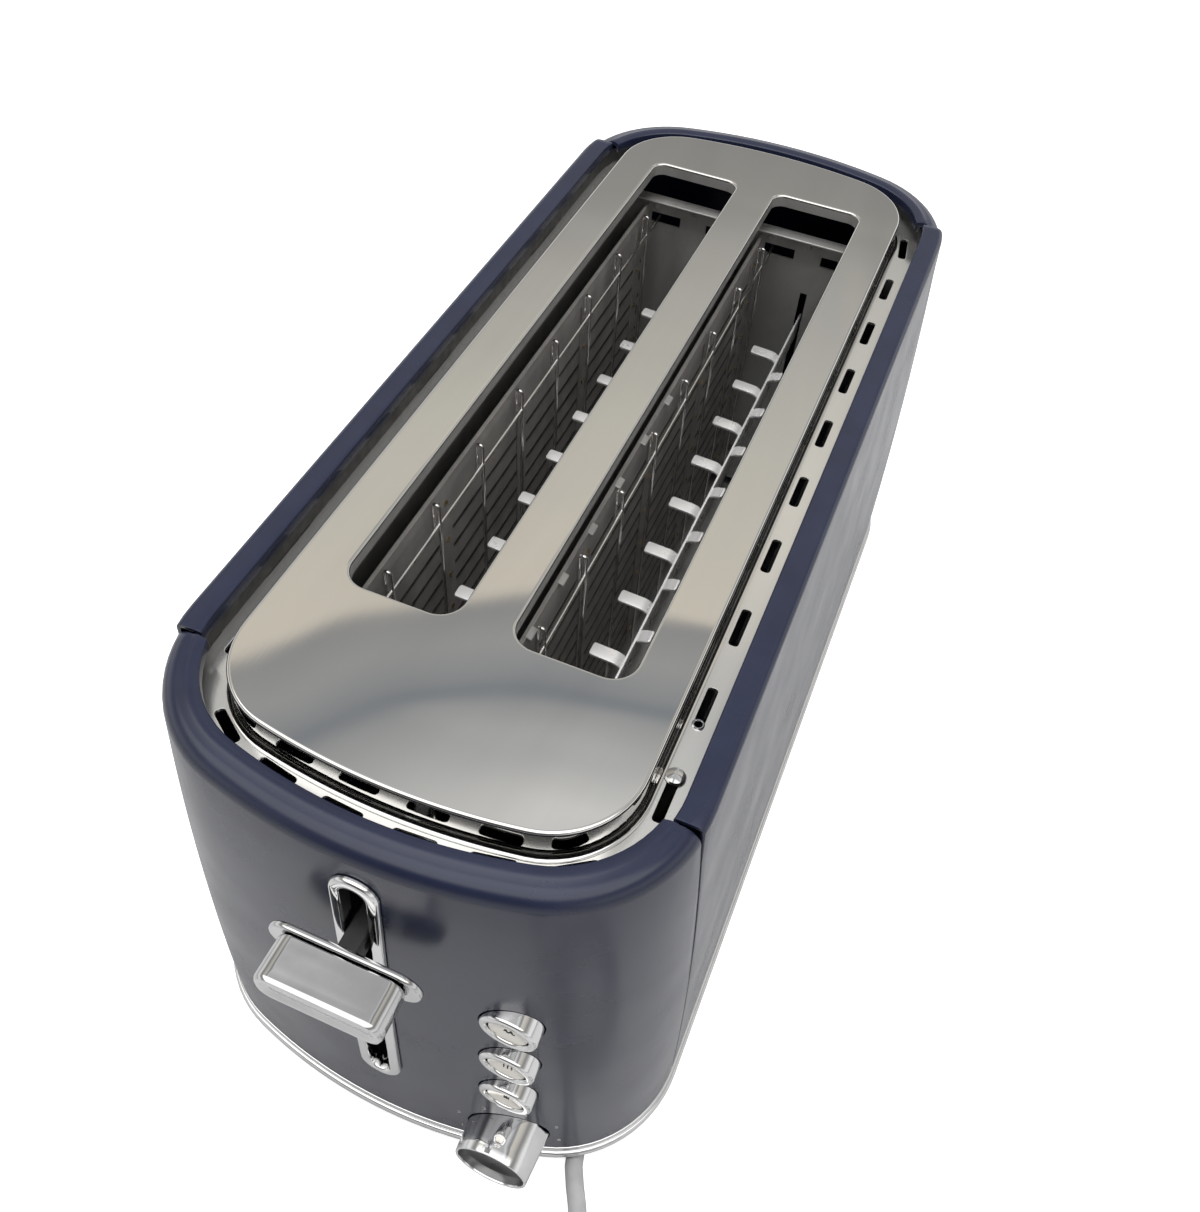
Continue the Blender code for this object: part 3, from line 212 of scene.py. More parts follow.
def block(name, low, high, bevel=0.0, segments=2):
    low, high = Vector(low), Vector(high)
    piece = newPrimitive(name, bpy.ops.mesh.primitive_cube_add, size=1, location=(low + high) / 2,
                         scale=high - low)
    if bevel:
        bevelWhere(piece, lambda edge: True, bevel, segments)
    return piece


def turned(name, profile, centre, way=(0, 0, 1), sides=48, bored=False):  # rings of (radius, distance along)
    turn = Vector(way).to_track_quat("Z", "Y")
    rings = []
    for radius, along in profile:
        ring = [Vector((max(radius, 0.000001) * math.cos(math.tau * step / sides),
                        max(radius, 0.000001) * math.sin(math.tau * step / sides), along))
                for step in range(sides)]
        rings.append([Vector(centre) + turn @ point for point in ring])
    return ringByRing(name, rings, closed=bored)


def wire(name, points, radius, sides=8, flat=1.0, up=None):  # a ring carried along a line of points
    points = [Vector(point) for point in points]
    side = None
    rings = []
    for index, point in enumerate(points):
        way = (points[min(index + 1, len(points) - 1)] - points[max(index - 1, 0)]).normalized()
        if side is None:
            lean = Vector(up) if up else (Vector((0, 0, 1)) if abs(way.z) < 0.9 else Vector((1, 0, 0)))
            side = way.cross(lean).normalized()
        side = (side - way * side.dot(way)).normalized()
        over = way.cross(side)
        rings.append([point + side * radius * math.cos(math.tau * step / sides)
                      + over * radius * flat * math.sin(math.tau * step / sides) for step in range(sides)])
    return ringByRing(name, rings)


def arcPoints(centre, start, axis, angle, steps):  # points round an axis, from a start point
    arm = Vector(start) - Vector(centre)
    return [Vector(centre) + Matrix.Rotation(angle * step / steps, 3, axis) @ arm
            for step in range(steps + 1)]


def dress(piece, body, finish, replaced=(), angle=30, flatTop=False):
    makeActive(piece)
    bpy.ops.object.shade_smooth_by_angle(angle=math.radians(angle))
    if flatTop:  # wide flat faces keep their own normals beside narrow rounds
        step = piece.modifiers.new("flatTop", "WEIGHTED_NORMAL")
        step.keep_sharp = True
        bpy.ops.object.modifier_apply(modifier=step.name)
    piece.data.materials.clear()
    piece.data.materials.append(finish)
    if body:
        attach(piece, body)
    if replaced:
        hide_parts(*([replaced] if isinstance(replaced, str) else replaced))
    return piece


# finishes: every pattern reads Object coordinates
class Finish:
    def __init__(self, name, roughness, metallic=0.0, **sockets):
        self.material = bpy.data.materials.new(name)
        self.material.use_nodes = True
        self.nodes, self.links = self.material.node_tree.nodes, self.material.node_tree.links
        self.shader = self.nodes["Principled BSDF"]
        self.shader.inputs["Roughness"].default_value = roughness
        self.shader.inputs["Metallic"].default_value = metallic
        for socket, value in sockets.items():
            self.shader.inputs[socket.replace("_", " ")].default_value = value
        self.place = self.nodes.new("ShaderNodeTexCoord").outputs["Object"]
        self.lastBump = None

    def noise(self, scale, stretch=(1, 1, 1), detail=3.0, distortion=0.0, turn=(0, 0, 0)):
        mapping = self.nodes.new("ShaderNodeMapping")
        mapping.inputs["Scale"].default_value = stretch
        mapping.inputs["Rotation"].default_value = turn
        self.links.new(self.place, mapping.inputs["Vector"])
        grain = self.nodes.new("ShaderNodeTexNoise")
        grain.inputs["Scale"].default_value = scale
        grain.inputs["Detail"].default_value = detail
        grain.inputs["Distortion"].default_value = distortion
        self.links.new(mapping.outputs["Vector"], grain.inputs["Vector"])
        return grain.outputs["Fac"]

    def ramp(self, source, stops):  # stops of (place, colour or grey)
        node = self.nodes.new("ShaderNodeValToRGB")
        while len(node.color_ramp.elements) < len(stops):
            node.color_ramp.elements.new(0.5)
        for element, (place, colour) in zip(node.color_ramp.elements, stops):
            element.position = place
            element.color = (*colour, 1) if isinstance(colour, tuple) else (colour, colour, colour, 1)
        self.links.new(source, node.inputs["Fac"])
        return node.outputs["Color"]

    def colour(self, source):
        self.links.new(source, self.shader.inputs["Base Color"])
        return self

    def gloss(self, source, low, high, fromLow=0.3, fromHigh=0.7):
        node = self.nodes.new("ShaderNodeMapRange")
        for socket, value in zip(("From Min", "From Max", "To Min", "To Max"),
                                 (fromLow, fromHigh, low, high)):
            node.inputs[socket].default_value = value
        self.links.new(source, node.inputs["Value"])
        self.links.new(node.outputs["Result"], self.shader.inputs["Roughness"])
        return self

    def bump(self, source, depth, strength=1.0):
        node = self.nodes.new("ShaderNodeBump")
        node.inputs["Strength"].default_value = strength
        node.inputs["Distance"].default_value = depth
        self.links.new(source, node.inputs["Height"])
        if self.lastBump:
            self.links.new(self.lastBump, node.inputs["Normal"])
        self.lastBump = node.outputs["Normal"]
        self.links.new(self.lastBump, self.shader.inputs["Normal"])
        return self


def navyEnamel():  # stoved paint with a fine orange peel under its gloss
    paint = Finish("navyEnamel", 0.24, IOR=1.5)
    paint.colour(paint.ramp(paint.noise(60, detail=4),
                            [(0.3, (0.0105, 0.0135, 0.033)), (0.7, (0.0145, 0.0185, 0.042))]))
    paint.gloss(paint.noise(35, detail=5), 0.2, 0.29)
    paint.bump(paint.noise(900, detail=2), 0.000012, 0.4)
    return paint.material


def polishedTop():  # bright rolled sheet, with a soft wave left by the press
    sheet = Finish("polishedTop", 0.08, 1.0)
    streak = sheet.noise(14, (1, 0.16, 1), 4, 1.2)
    tone = sheet.ramp(streak, [(0.3, (0.62, 0.61, 0.59)), (0.52, (0.68, 0.67, 0.645)),
                               (0.75, (0.64, 0.64, 0.635))])
    sheet.colour(tone)
    sheet.gloss(sheet.noise(40, (1, 0.1, 1), 5), 0.02, 0.055)
    sheet.bump(sheet.noise(9, (1, 2.2, 1), 1, 0.4), 0.001, 0.2)
    sheet.bump(sheet.noise(700, (1, 0.02, 1), 2), 0.000006, 0.15)
    return sheet.material


def deckSheetFinish():  # the same sheet, left duller all over
    sheet = Finish("deckSheet", 0.2, 0.9)
    sheet.colour(sheet.ramp(sheet.noise(22, (1, 0.3, 1), 4, 1.0),
                            [(0.3, (0.74, 0.73, 0.705)), (0.7, (0.82, 0.81, 0.785))]))
    sheet.gloss(sheet.noise(50, (1, 0.2, 1), 5), 0.14, 0.26)
    sheet.bump(sheet.noise(30, detail=2), 0.0003, 0.12)
    return sheet.material


def mirrorChrome(name="mirrorChrome", rough=0.045, tone=0.7):
    plate = Finish(name, rough, 1.0)
    plate.colour(plate.ramp(plate.noise(90, detail=4),
                            [(0.3, (tone - 0.04,) * 3), (0.7, (tone + 0.04,) * 3)]))
    plate.gloss(plate.noise(180, detail=5, distortion=0.6), rough, rough + 0.07, 0.45, 0.8)
    plate.bump(plate.noise(120, detail=2), 0.00006, 0.25)
    return plate.material


def zincSheet():  # dull plated sheet inside the body
    sheet = Finish("zincSheet", 0.4, 0.55)
    sheet.colour(sheet.ramp(sheet.noise(45, (1, 1, 0.4), 5, 0.8),
                            [(0.3, (0.36, 0.355, 0.345)), (0.55, (0.46, 0.455, 0.44)),
                             (0.8, (0.4, 0.385, 0.36))]))
    sheet.gloss(sheet.noise(130, detail=4), 0.28, 0.5)
    sheet.bump(sheet.noise(260, detail=3), 0.00003, 0.5)
    return sheet.material


def blackMoulding(name="blackMoulding", tone=0.018, rough=0.5):
    plastic = Finish(name, rough)
    plastic.colour(
        plastic.ramp(plastic.noise(80, detail=4), [(0.3, (tone * 0.8,) * 3), (0.7, (tone * 1.25,) * 3)]))
    plastic.gloss(plastic.noise(220, detail=3), rough - 0.08, rough + 0.1)
    plastic.bump(plastic.noise(1400, detail=2), 0.00004, 0.5)
    return plastic.material


def greyCordRubber():
    rubber = Finish("greyCordRubber", 0.5)
    rubber.colour(rubber.ramp(rubber.noise(150, detail=4),
                              [(0.3, (0.4, 0.4, 0.405)), (0.7, (0.48, 0.48, 0.48))]))
    rubber.gloss(rubber.noise(300, detail=3), 0.42, 0.6)
    rubber.bump(rubber.noise(2200, detail=2), 0.00003, 0.5)
    return rubber.material


navy, topSteel, deckSteel, zinc = navyEnamel(), polishedTop(), deckSheetFinish(), zincSheet()
chrome, leverChrome = mirrorChrome(), mirrorChrome("leverChrome", 0.05, 0.57)
blackPlastic, cordRubber = blackMoulding(), greyCordRubber()
blackRubber = blackMoulding("blackRubber", 0.014, 0.75)
print("finishes made")


# room: a white studio, with a warm far wall, a cooler ceiling and the photographer's dark side
room = {"floorReach": 6.0, "floorTone": 0.64, "floorLift": 0.85, "worldStrength": 0.62, "windowLight": 1.5,
        "wave": 0.06, "keyPower": 16.0, "keySize": 0.8, "keyPlace": (0.02, -0.06, 1.35), "fillPower": 3.0,
        "fillSize": 1.0, "fillPlace": (0.9, -0.9, 1.0)}


def buildRoom():
    world = bpy.data.worlds.new("studioRoom")
    bpy.context.scene.world = world
    world.use_nodes = True
    nodes, links = world.node_tree.nodes, world.node_tree.links
    nodes.clear()
    path = nodes.new("ShaderNodeLightPath")
    way = nodes.new("ShaderNodeSeparateXYZ")
    links.new(nodes.new("ShaderNodeTexCoord").outputs["Generated"], way.inputs["Vector"])

    def ramp(source, stops):
        node = nodes.new("ShaderNodeValToRGB")
        while len(node.color_ramp.elements) < len(stops):
            node.color_ramp.elements.new(0.5)
        for element, (place, colour) in zip(node.color_ramp.elements, stops):
            element.position, element.color = place, (*colour, 1)
        links.new(source, node.inputs["Fac"])
        return node.outputs["Color"]

    def span(source, fromLow, fromHigh, low, high):
        node = nodes.new("ShaderNodeMapRange")
        for socket, value in zip(("From Min", "From Max", "To Min", "To Max"),
                                 (fromLow, fromHigh, low, high)):
            node.inputs[socket].default_value = value
        links.new(source, node.inputs["Value"])
        return node.outputs["Result"]

    def joined(kind, first, second):
        node = nodes.new("ShaderNodeMix")
        node.data_type, node.blend_type = "RGBA", kind
        node.inputs["Factor"].default_value = 1
        links.new(first, node.inputs[6])
        links.new(second, node.inputs[7])
        return node.outputs[2]

    def background(strength, colour=None):
        node = nodes.new("ShaderNodeBackground")
        node.inputs["Strength"].default_value = strength
        if colour:
            links.new(colour, node.inputs["Color"])
        else:
            node.inputs["Color"].default_value = (1, 1, 1, 1)
        return node.outputs["Background"]

    def seenBy(ray, other, seen):  # what that kind of ray sees, and what all other rays see
        node = nodes.new("ShaderNodeMixShader")
        for source, socket in ((path.outputs[ray], 0), (other, 1), (seen, 2)):
            links.new(source, node.inputs[socket])
        return node.outputs["Shader"]

    cloud = nodes.new("ShaderNodeTexNoise")
    for socket, value in (("Scale", 3.2), ("Detail", 0.5), ("Distortion", 0.6)):
        cloud.inputs[socket].default_value = value
    wave = nodes.new("ShaderNodeMath")
    wave.operation = "MULTIPLY_ADD"
    links.new(cloud.outputs["Fac"], wave.inputs[0])
    wave.inputs[1].default_value, wave.inputs[2].default_value = room["wave"], -room["wave"] / 2
    lifted = nodes.new("ShaderNodeMath")
    links.new(way.outputs["Z"], lifted.inputs[0])
    links.new(wave.outputs["Value"], lifted.inputs[1])
    height = ramp(lifted.outputs["Value"], [
        (0.0, (1, 1, 1)), (0.2, (1, 1, 1)), (0.34, (0.52, 0.515, 0.5)), (0.44, (0.34, 0.335, 0.325)),
        (0.5, (0.38, 0.375, 0.36)), (0.555, (0.54, 0.53, 0.5)), (0.66, (0.7, 0.68, 0.62)),
        (0.768, (0.8, 0.745, 0.66)), (0.775, (0.36, 0.365, 0.37)), (0.798, (0.43, 0.435, 0.44)),
        (0.814, (0.35, 0.365, 0.385)), (0.822, (0.27, 0.295, 0.33)), (0.83, (0.42, 0.43, 0.44)),
        (0.856, (0.6, 0.605, 0.61)), (0.885, (0.84, 0.84, 0.84)), (0.93, (0.6, 0.6, 0.6)),
        (1.0, (0.62, 0.62, 0.62))])
    depth = way.outputs["Y"]
    shade = joined("MULTIPLY", height, span(depth, -0.92, -0.68, 0.12, 1.0))
    window = ramp(way.outputs["Z"], [(0.54, (0, 0, 0)), (0.64, (1, 1, 1))])  # a long one, behind the camera
    lit = joined("MULTIPLY", window, span(depth, 0.1, -0.08, 0, room["windowLight"]))
    plain = background(room["worldStrength"], span(depth, -0.9, 0.2, 0.45, 1.1))
    mirrored = seenBy("Is Glossy Ray", plain, background(1, joined("ADD", shade, lit)))
    straight = seenBy("Is Camera Ray", mirrored, background(1))
    links.new(straight, nodes.new("ShaderNodeOutputWorld").inputs["Surface"])

    floor = newPrimitive("paleFloor", bpy.ops.mesh.primitive_plane_add, size=room["floorReach"])
    paper = Finish("palePaper", 0.9)
    paper.colour(
        paper.ramp(paper.noise(3, detail=2), [(0.3, room["floorTone"] - 0.01), (0.7, room["floorTone"])]))
    lift = paper.nodes.new("ShaderNodeLightPath")
    glow = paper.nodes.new("ShaderNodeMapRange")
    glow.inputs["To Max"].default_value = room["floorLift"]
    paper.links.new(lift.outputs["Is Camera Ray"], glow.inputs["Value"])
    paper.links.new(glow.outputs["Result"], paper.shader.inputs["Emission Strength"])
    paper.shader.inputs["Emission Color"].default_value = (1, 1, 1, 1)
    floor.data.materials.append(paper.material)

    for name in ("key", "fill"):
        place = Vector(room[name + "Place"])
        bpy.ops.object.light_add(type="AREA", location=place, rotation=(-place).to_track_quat(
            "-Z", "Y").to_euler())
        lamp = bpy.context.object
        lamp.name = name + "Lamp"
        lamp.data.shape = "DISK"
        lamp.data.size = room[name + "Size"]
        lamp.data.energy = room[name + "Power"]
        lamp.visible_glossy = False


buildRoom()
print("room ready")


# mains cord: out of its relief, along the floor, into a flat coil and out to the plug
cordRoute = {"diameter": 0.0066, "turnGap": 0.0006, "coilRadius": 0.0363, "turnsEachLayer": 1.75,
             "turnPoints": 24, "coilX": 0.1275, "coilY": -0.2508, "reliefStart": (0.0662, -0.1402, 0.0102),
             "reliefSlope": 10, "reliefLength": 0.03, "gap": 0.0003,
             "runPoints": [(0.067, -0.185), (0.0696, -0.196), (0.0766, -0.2088), (0.0825, -0.223)],
             "tailPoints": [(0.0832, -0.286, 0.007), (0.084, -0.306, 0.0033), (0.089, -0.326, 0.0045),
                            (0.097, -0.343, 0.0088), (0.101, -0.352, 0.01)]}


def reliefWay():
    slope = math.radians(cordRoute["reliefSlope"])
    return Vector((0, -math.cos(slope), -math.sin(slope)))


def coilPoint(turns):  # a spiral in on the floor, up a layer, and out again
    step = cordRoute["diameter"] + cordRoute["turnGap"]
    layer = cordRoute["turnsEachLayer"]
    outer = cordRoute["coilRadius"] + step * layer / 2
    inner = outer - step * layer
    back = layer + 0.5
    if turns <= layer:
        radius, climb = outer - step * turns, 0
    elif turns <= back:
        climb = (turns - layer) / (back - layer)
        radius = inner - step * min(climb, 1 - climb) * 0.5
    else:
        radius, climb = inner + step * (turns - back), 1
    turn = math.pi + math.tau * turns
    return Vector((cordRoute["coilX"] + radius * math.cos(turn), cordRoute["coilY"] + radius * math.sin(turn),
                   cordRoute["diameter"] / 2 + step * climb))


def smoothLine(points, spacing):  # evenly spaced points on a smooth curve through the given ones
    points = [Vector(point) for point in points]
    padded = [points[0] * 2 - points[1]] + points + [points[-1] * 2 - points[-2]]
    dense = []
    for a, b, c, d in zip(padded, padded[1:], padded[2:], padded[3:]):
        for step in range(24):
            t = step / 24
            dense.append(0.5 * (2 * b + (c - a) * t + (2 * a - 5 * b + 4 * c - d) * t ** 2
                                + (3 * b - a - 3 * c + d) * t ** 3))
    dense.append(points[-1])
    lengths = [0]
    for a, b in zip(dense, dense[1:]):
        lengths.append(lengths[-1] + (b - a).length)
    count = max(round(lengths[-1] / spacing), 2)
    even, index = [], 0
    for step in range(count + 1):
        target = lengths[-1] * step / count
        while index < len(dense) - 2 and lengths[index + 1] < target:
            index += 1
        even.append(dense[index].lerp(dense[index + 1], (target - lengths[index])
                                      / max(lengths[index + 1] - lengths[index], 0.0000001)))
    return even


def buildCord():
    size = cordRoute["diameter"]
    way = reliefWay()
    reliefEnd = Vector(cordRoute["reliefStart"]) + way * cordRoute["reliefLength"]
    turns = cordRoute["turnsEachLayer"] * 2 + 0.5
    steps = round(turns * cordRoute["turnPoints"])
    coil = [coilPoint(turns * step / steps) for step in range(steps + 1)]
    firstWay, lastWay = (coil[0] - coil[1]).normalized(), (coil[-1] - coil[-2]).normalized()
    coil = [coil[0] + firstWay * size] + coil + [coil[-1] + lastWay * size]
    gap = cordRoute["gap"]
    run = smoothLine([reliefEnd + way * gap, reliefEnd + way * (gap + size)]
                     + [(x, y, size / 2) for x, y in cordRoute["runPoints"]]
                     + [coil[0] + firstWay * (gap + size), coil[0] + firstWay * gap], size)
    tail = smoothLine([coil[-1] + lastWay * gap, coil[-1] + lastWay * (gap + size)] + cordRoute["tailPoints"],
                      size)
    plugWay = Vector((tail[-1].x - tail[-2].x, tail[-1].y - tail[-2].y, 0)).normalized()
    tail.append(tail[-1] + plugWay * size)
    points = [point + Vector((0, middleY, 0)) for point in run + coil + tail]
    length = sum((b - a).length for a, b in zip(points, points[1:]))

    bpy.ops.curve.primitive_nurbs_path_add()
    cord = bpy.context.object
    cord.name = "mainsCord"
    cord.data.name = "mainsCord"
    cord.data.splines.clear()
    cord.data.dimensions = "3D"
    cord.data.bevel_depth = size / 2
    cord.data.bevel_resolution = 6
    cord.data.use_fill_caps = True
    line = cord.data.splines.new("POLY")
    line.points.add(len(points) - 1)
    for spot, point in zip(line.points, points):
        spot.co = (*point, 1)
    line.use_smooth = True
    cord.data.materials.append(cordRubber)
    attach(cord, "housing")
    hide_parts("cord_run", "cord_coil", "cord_tail")
    print("cord length", round(length, 3))
    return cord, points[0], length, points[-1] + plugWay * gap, plugWay


mainsCord, cordExit, cordLength, plugStart, plugWay = buildCord()


# painted shell: one rolled ring, cut into two end caps and two sides
shell = {"rim": (0.0808, 0.1954, 0.0462, 0.1809),  # half width, half length, corner radius, end bow
         "foot": (0.0904, 0.2053, 0.0459, 0.1986), "bottom": 0.016, "height": 0.1756, "wall": 0.0015,
         "swell": 0.0014, "rimEdge": 0.0008, "lipDepth": 0.0046, "frontSeam": -0.153, "rearSeam": 0.1552,
         "seamGap": 0.0008, "seamEdge": 0.0005, "cornerSteps": 14, "bowSteps": 12, "sideSteps": 12}
rimOf = {"end": {"roll": 0.0065, "width": 0.0111, "dome": 0.0005},  # the end caps' rims are rounder and wider
         "side": {"roll": 0.0026, "width": 0.0088, "dome": 0.0001}}
rimTop = shell["bottom"] + shell["height"]


def planOutline(sizes, inset=0.0, height=0.0):
    halfWidth, halfLength, corner, bow = (size - inset for size in sizes)
    cornerX, bowY = halfWidth - corner, bow - halfLength
    cornerY = bowY - math.sqrt((bow - corner) ** 2 - cornerX ** 2)
    meet = math.atan2(cornerY - bowY, cornerX)
    right = []
    for step in range(shell["cornerSteps"] + 1):
        turn = meet * step / shell["cornerSteps"]
        right.append((cornerX + corner * math.cos(turn), cornerY + corner * math.sin(turn)))
    for step in range(1, shell["bowSteps"] + 1):
        turn = mix(meet, -math.pi / 2, step / shell["bowSteps"])
        right.append((bow * math.cos(turn), bowY + bow * math.sin(turn)))
    half = right + [(-x, y) for x, y in reversed(right[:-1])]
    half += [(-halfWidth, mix(cornerY, -cornerY, step / shell["sideSteps"]))
             for step in range(1, shell["sideSteps"])]
    return [Vector((x, y + middleY, height)) for x, y in half + [(-x, -y) for x, y in half]]


def shellSizes(height):
    top = rimTop - rimOf["end"]["roll"]
    share = min(max((top - height) / (top - shell["bottom"]), 0), 1)
    swell = shell["swell"] * 4 * share * (1 - share)
    sizes = [mix(top, low, share) for top, low in zip(shell["rim"], shell["foot"])]
    return (sizes[0] + swell, sizes[1] + swell, sizes[2], sizes[3])


def frontY(x, height, proud=0.0):  # where the front panel is, across and up
    halfWidth, halfLength, corner, bow = shellSizes(height)
    cornerX, bowY = halfWidth - corner, bow - halfLength
    if abs(x) <= bow * cornerX / (bow - corner):
        return bowY - math.sqrt((bow + proud) ** 2 - x * x) + middleY
    cornerY = bowY - math.sqrt((bow - corner) ** 2 - cornerX ** 2)
    return cornerY - math.sqrt((corner + proud) ** 2 - min(abs(x) - cornerX, corner + proud) ** 2) + middleY


def shellSection(kind):  # rings of (sizes, inset, height), up the outside, over the rim and down the inside
    rings, rim, roll, width, dome = [], shellSizes(rimTop), *(
        rimOf[kind][part] for part in ("roll", "width", "dome"))
    rollStart, edge, wall = rimTop - roll, shell["rimEdge"], shell["wall"]
    heights = [mix(shell["bottom"], rollStart, step / 12) for step in range(13)]
    rings.append((shellSizes(heights[0]), 0.0004, heights[0]))
    rings += [(shellSizes(height), 0, height + (0.0004 if height == heights[0] else 0)) for height in heights]
    for step in range(1, 9):
        turn = math.pi / 2 * step / 8
        rings.append((rim, roll * (1 - math.cos(turn)), rollStart + roll * math.sin(turn) - dome))
    for step in range(1, 6):
        share = step / 6
        rings.append((rim, mix(roll, width - edge, share), rimTop - dome * (2 * share - 1) ** 2))
    for step in range(4):
        turn = math.pi / 2 * step / 3
        rings.append((rim, width - edge * (1 - math.sin(turn)), rimTop - dome - edge * (1 - math.cos(turn))))
    bottom = rimTop - shell["lipDepth"]
    rings += [(rim, width, bottom + 0.0003), (rim, width - 0.0003, bottom), (rim, width - wall, bottom),
              (rim, width - wall, rimTop - wall - dome)]
    for step in range(5):
        turn = math.pi / 2 * (1 - step / 5)
        reach = max(roll - wall, 0.0004)
        rings.append((rim, roll - reach * math.cos(turn), rollStart + reach * math.sin(turn) - dome))
    rings += [(shellSizes(height), wall, height) for height in reversed(heights[::3])]
    return rings


def buildShell():
    wholes = {kind: ringByRing(kind + "Shell", [planOutline(*ring) for ring in shellSection(kind)],
                               closed=True) for kind in ("end", "side")}
    front, rear = shell["frontSeam"] + middleY, shell["rearSeam"] + middleY
    gap, edge = shell["seamGap"] / 2, shell["seamEdge"]
    made = {}
    for name, kind, planes in (("frontCap", "end", [(front - gap, 1)]),
                               ("rearCap", "end", [(rear + gap, -1)]),
                               ("leftSide", "side", [(rear - gap, 1), (front + gap, -1)]),
                               ("rightSide", "side", [(rear - gap, 1), (front + gap, -1)])):
        piece = copyOf(wholes[kind], name)
        for y, way in planes:
            bisectAt(piece, (0, y, 0), (0, way, 0))
        if kind == "side":
            away = 1 if name == "leftSide" else -1
            pick(piece, lambda vert: vert.co.x * away > 0, "VERT")
            bpy.ops.mesh.delete(type="VERT")
            leaveEdit()
        bevelWhere(piece, lambda edge: any(all(abs(vert.co.y - y) < 0.00001 for vert in edge.verts)
                                           for y, way in planes) and edgeAngle(edge, 40), edge, 2)
        made[name] = piece
    for whole in wholes.values():
        bpy.data.objects.remove(whole, do_unlink=True)
    return made


panels = buildShell()


# openings in the front cap
lever = {"x": 0.0016, "height": 0.1507, "slotHalf": 0.0038, "slotTop": 0.1767, "slotBottom": 0.0575,
         "sleeve": 0.0009, "gap": 0.0003, "band": 0.0036, "proud": 0.002, "innerRound": 0.0009,
         "outerRound": 0.0012, "back": 0.0025, "gripCorner": 0.0052}
buttons = {"x": 0.045, "drops": (0.0728, 0.0992, 0.1256), "radius": 0.0093, "holeGap": 0.0004, "ring": 0.0027,
           "dish": 0.0028, "sink": 0.0014, "innerRound": 0.0009, "outerRound": 0.0011, "markWire": 0.00026}
browning = {"x": 0.0453, "height": 0.1937 - 0.163, "lean": math.radians(3.5), "radius": 0.0137,
            "faceRadius": 0.0132, "holeGap": 0.0004, "proud": 0.0141, "length": 0.0222, "dish": 0.0121,
            "deep": 0.004, "shaft": 0.003, "bore": 0.0034, "flatTurn": 24, "flatDepth": 0.0009}
dial = {"figures": 6, "reach": 0.018, "firstTurn": 206, "turnStep": 44.6, "tall": 0.0032, "print": 0.00003}
plateTop = rimTop + 0.0021
knobWay = Vector((0, -math.cos(browning["lean"]), math.sin(browning["lean"])))
knobSeat = Vector((browning["x"], frontY(browning["x"], browning["height"]), browning["height"]))


def slotOutline(halfWidth, top, bottom, steps=12, sideSteps=10):  # an upright round-ended slot, as (x, z)
    turns = [math.pi * step / steps for step in range(steps + 1)]
    points = [(halfWidth * math.cos(turn), top - halfWidth + halfWidth * math.sin(turn)) for turn in turns]
    points += [(-halfWidth, mix(top - halfWidth, bottom + halfWidth, step / sideSteps))
               for step in range(1, sideSteps)]
    return points + [(-x, top + bottom - z) for x, z in points]


def cutFront():
    grow = lever["sleeve"] + lever["gap"]
    loop = slotOutline(lever["slotHalf"] + grow, lever["slotTop"] + grow, lever["slotBottom"] - grow)
    reach = (-0.23, -0.18)
    leverHole = ringByRing("leverHole", [[(lever["x"] + x, y, z) for x, z in loop] for y in reach])
    holes = [turned("buttonHole", [(buttons["radius"] + buttons["holeGap"], 0),
                                   (buttons["radius"] + buttons["holeGap"], 0.04)],
                    (buttons["x"], -0.17, plateTop - drop), (0, -1, 0)) for drop in buttons["drops"]]
    width = browning["radius"] + browning["holeGap"]
    holes.append(turned("knobHole", [(width, -0.02), (width, 0.01)], knobSeat, knobWay, 64))
    cutWith(panels["frontCap"], leverHole, *holes)


cutFront()


def cutRear():  # the crumb tray's way out
    low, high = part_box("crumb_tray")
    gap = 0.0005
    cutWith(panels["rearCap"], block("crumbNotch", (low[0] - gap, high[1] - 0.04, 0),
                                     (high[0] + gap, high[1] + 0.02, high[2] + gap)))


cutRear()
for name, node in (("frontCap", "front_end_cap"), ("rearCap", "rear_end_cap"),
                   ("leftSide", "left_side_panel"), ("rightSide", "right_side_panel")):
    dress(panels[name], "housing", navy, node, 28)
print("shell rolled and cut")


# chrome trim: two rounded bands under the shell
trim = {"foot": 0.008, "low": 0.0045, "top": 0.0157, "proud": 0.0018, "step": 0.0006, "depth": 0.002,
        "round": 0.0011}


def buildTrim():
    low, mid, top = trim["foot"], trim["foot"] + trim["low"], trim["top"]
    profile = []
    for centre, half, out in (((low + mid) / 2, (mid - low) / 2, trim["proud"]),
                              ((mid + top) / 2, (top - mid) / 2, trim["step"])):
        depth = trim["round"] if out == trim["proud"] else trim["step"]
        profile += [(-out + depth * (1 - cosine(turn)), centre + half * sine(turn))
                    for turn in range(-90, 91, 18)]
    profile += [(trim["depth"], top), (trim["depth"], low)]
    foot = shellSizes(shell["bottom"])
    band = ringByRing("chromeTrim", [planOutline(foot, inset, height) for inset, height in profile],
                      closed=True)
    dress(band, "housing", chrome, "base_trim_ring", 40)


buildTrim()


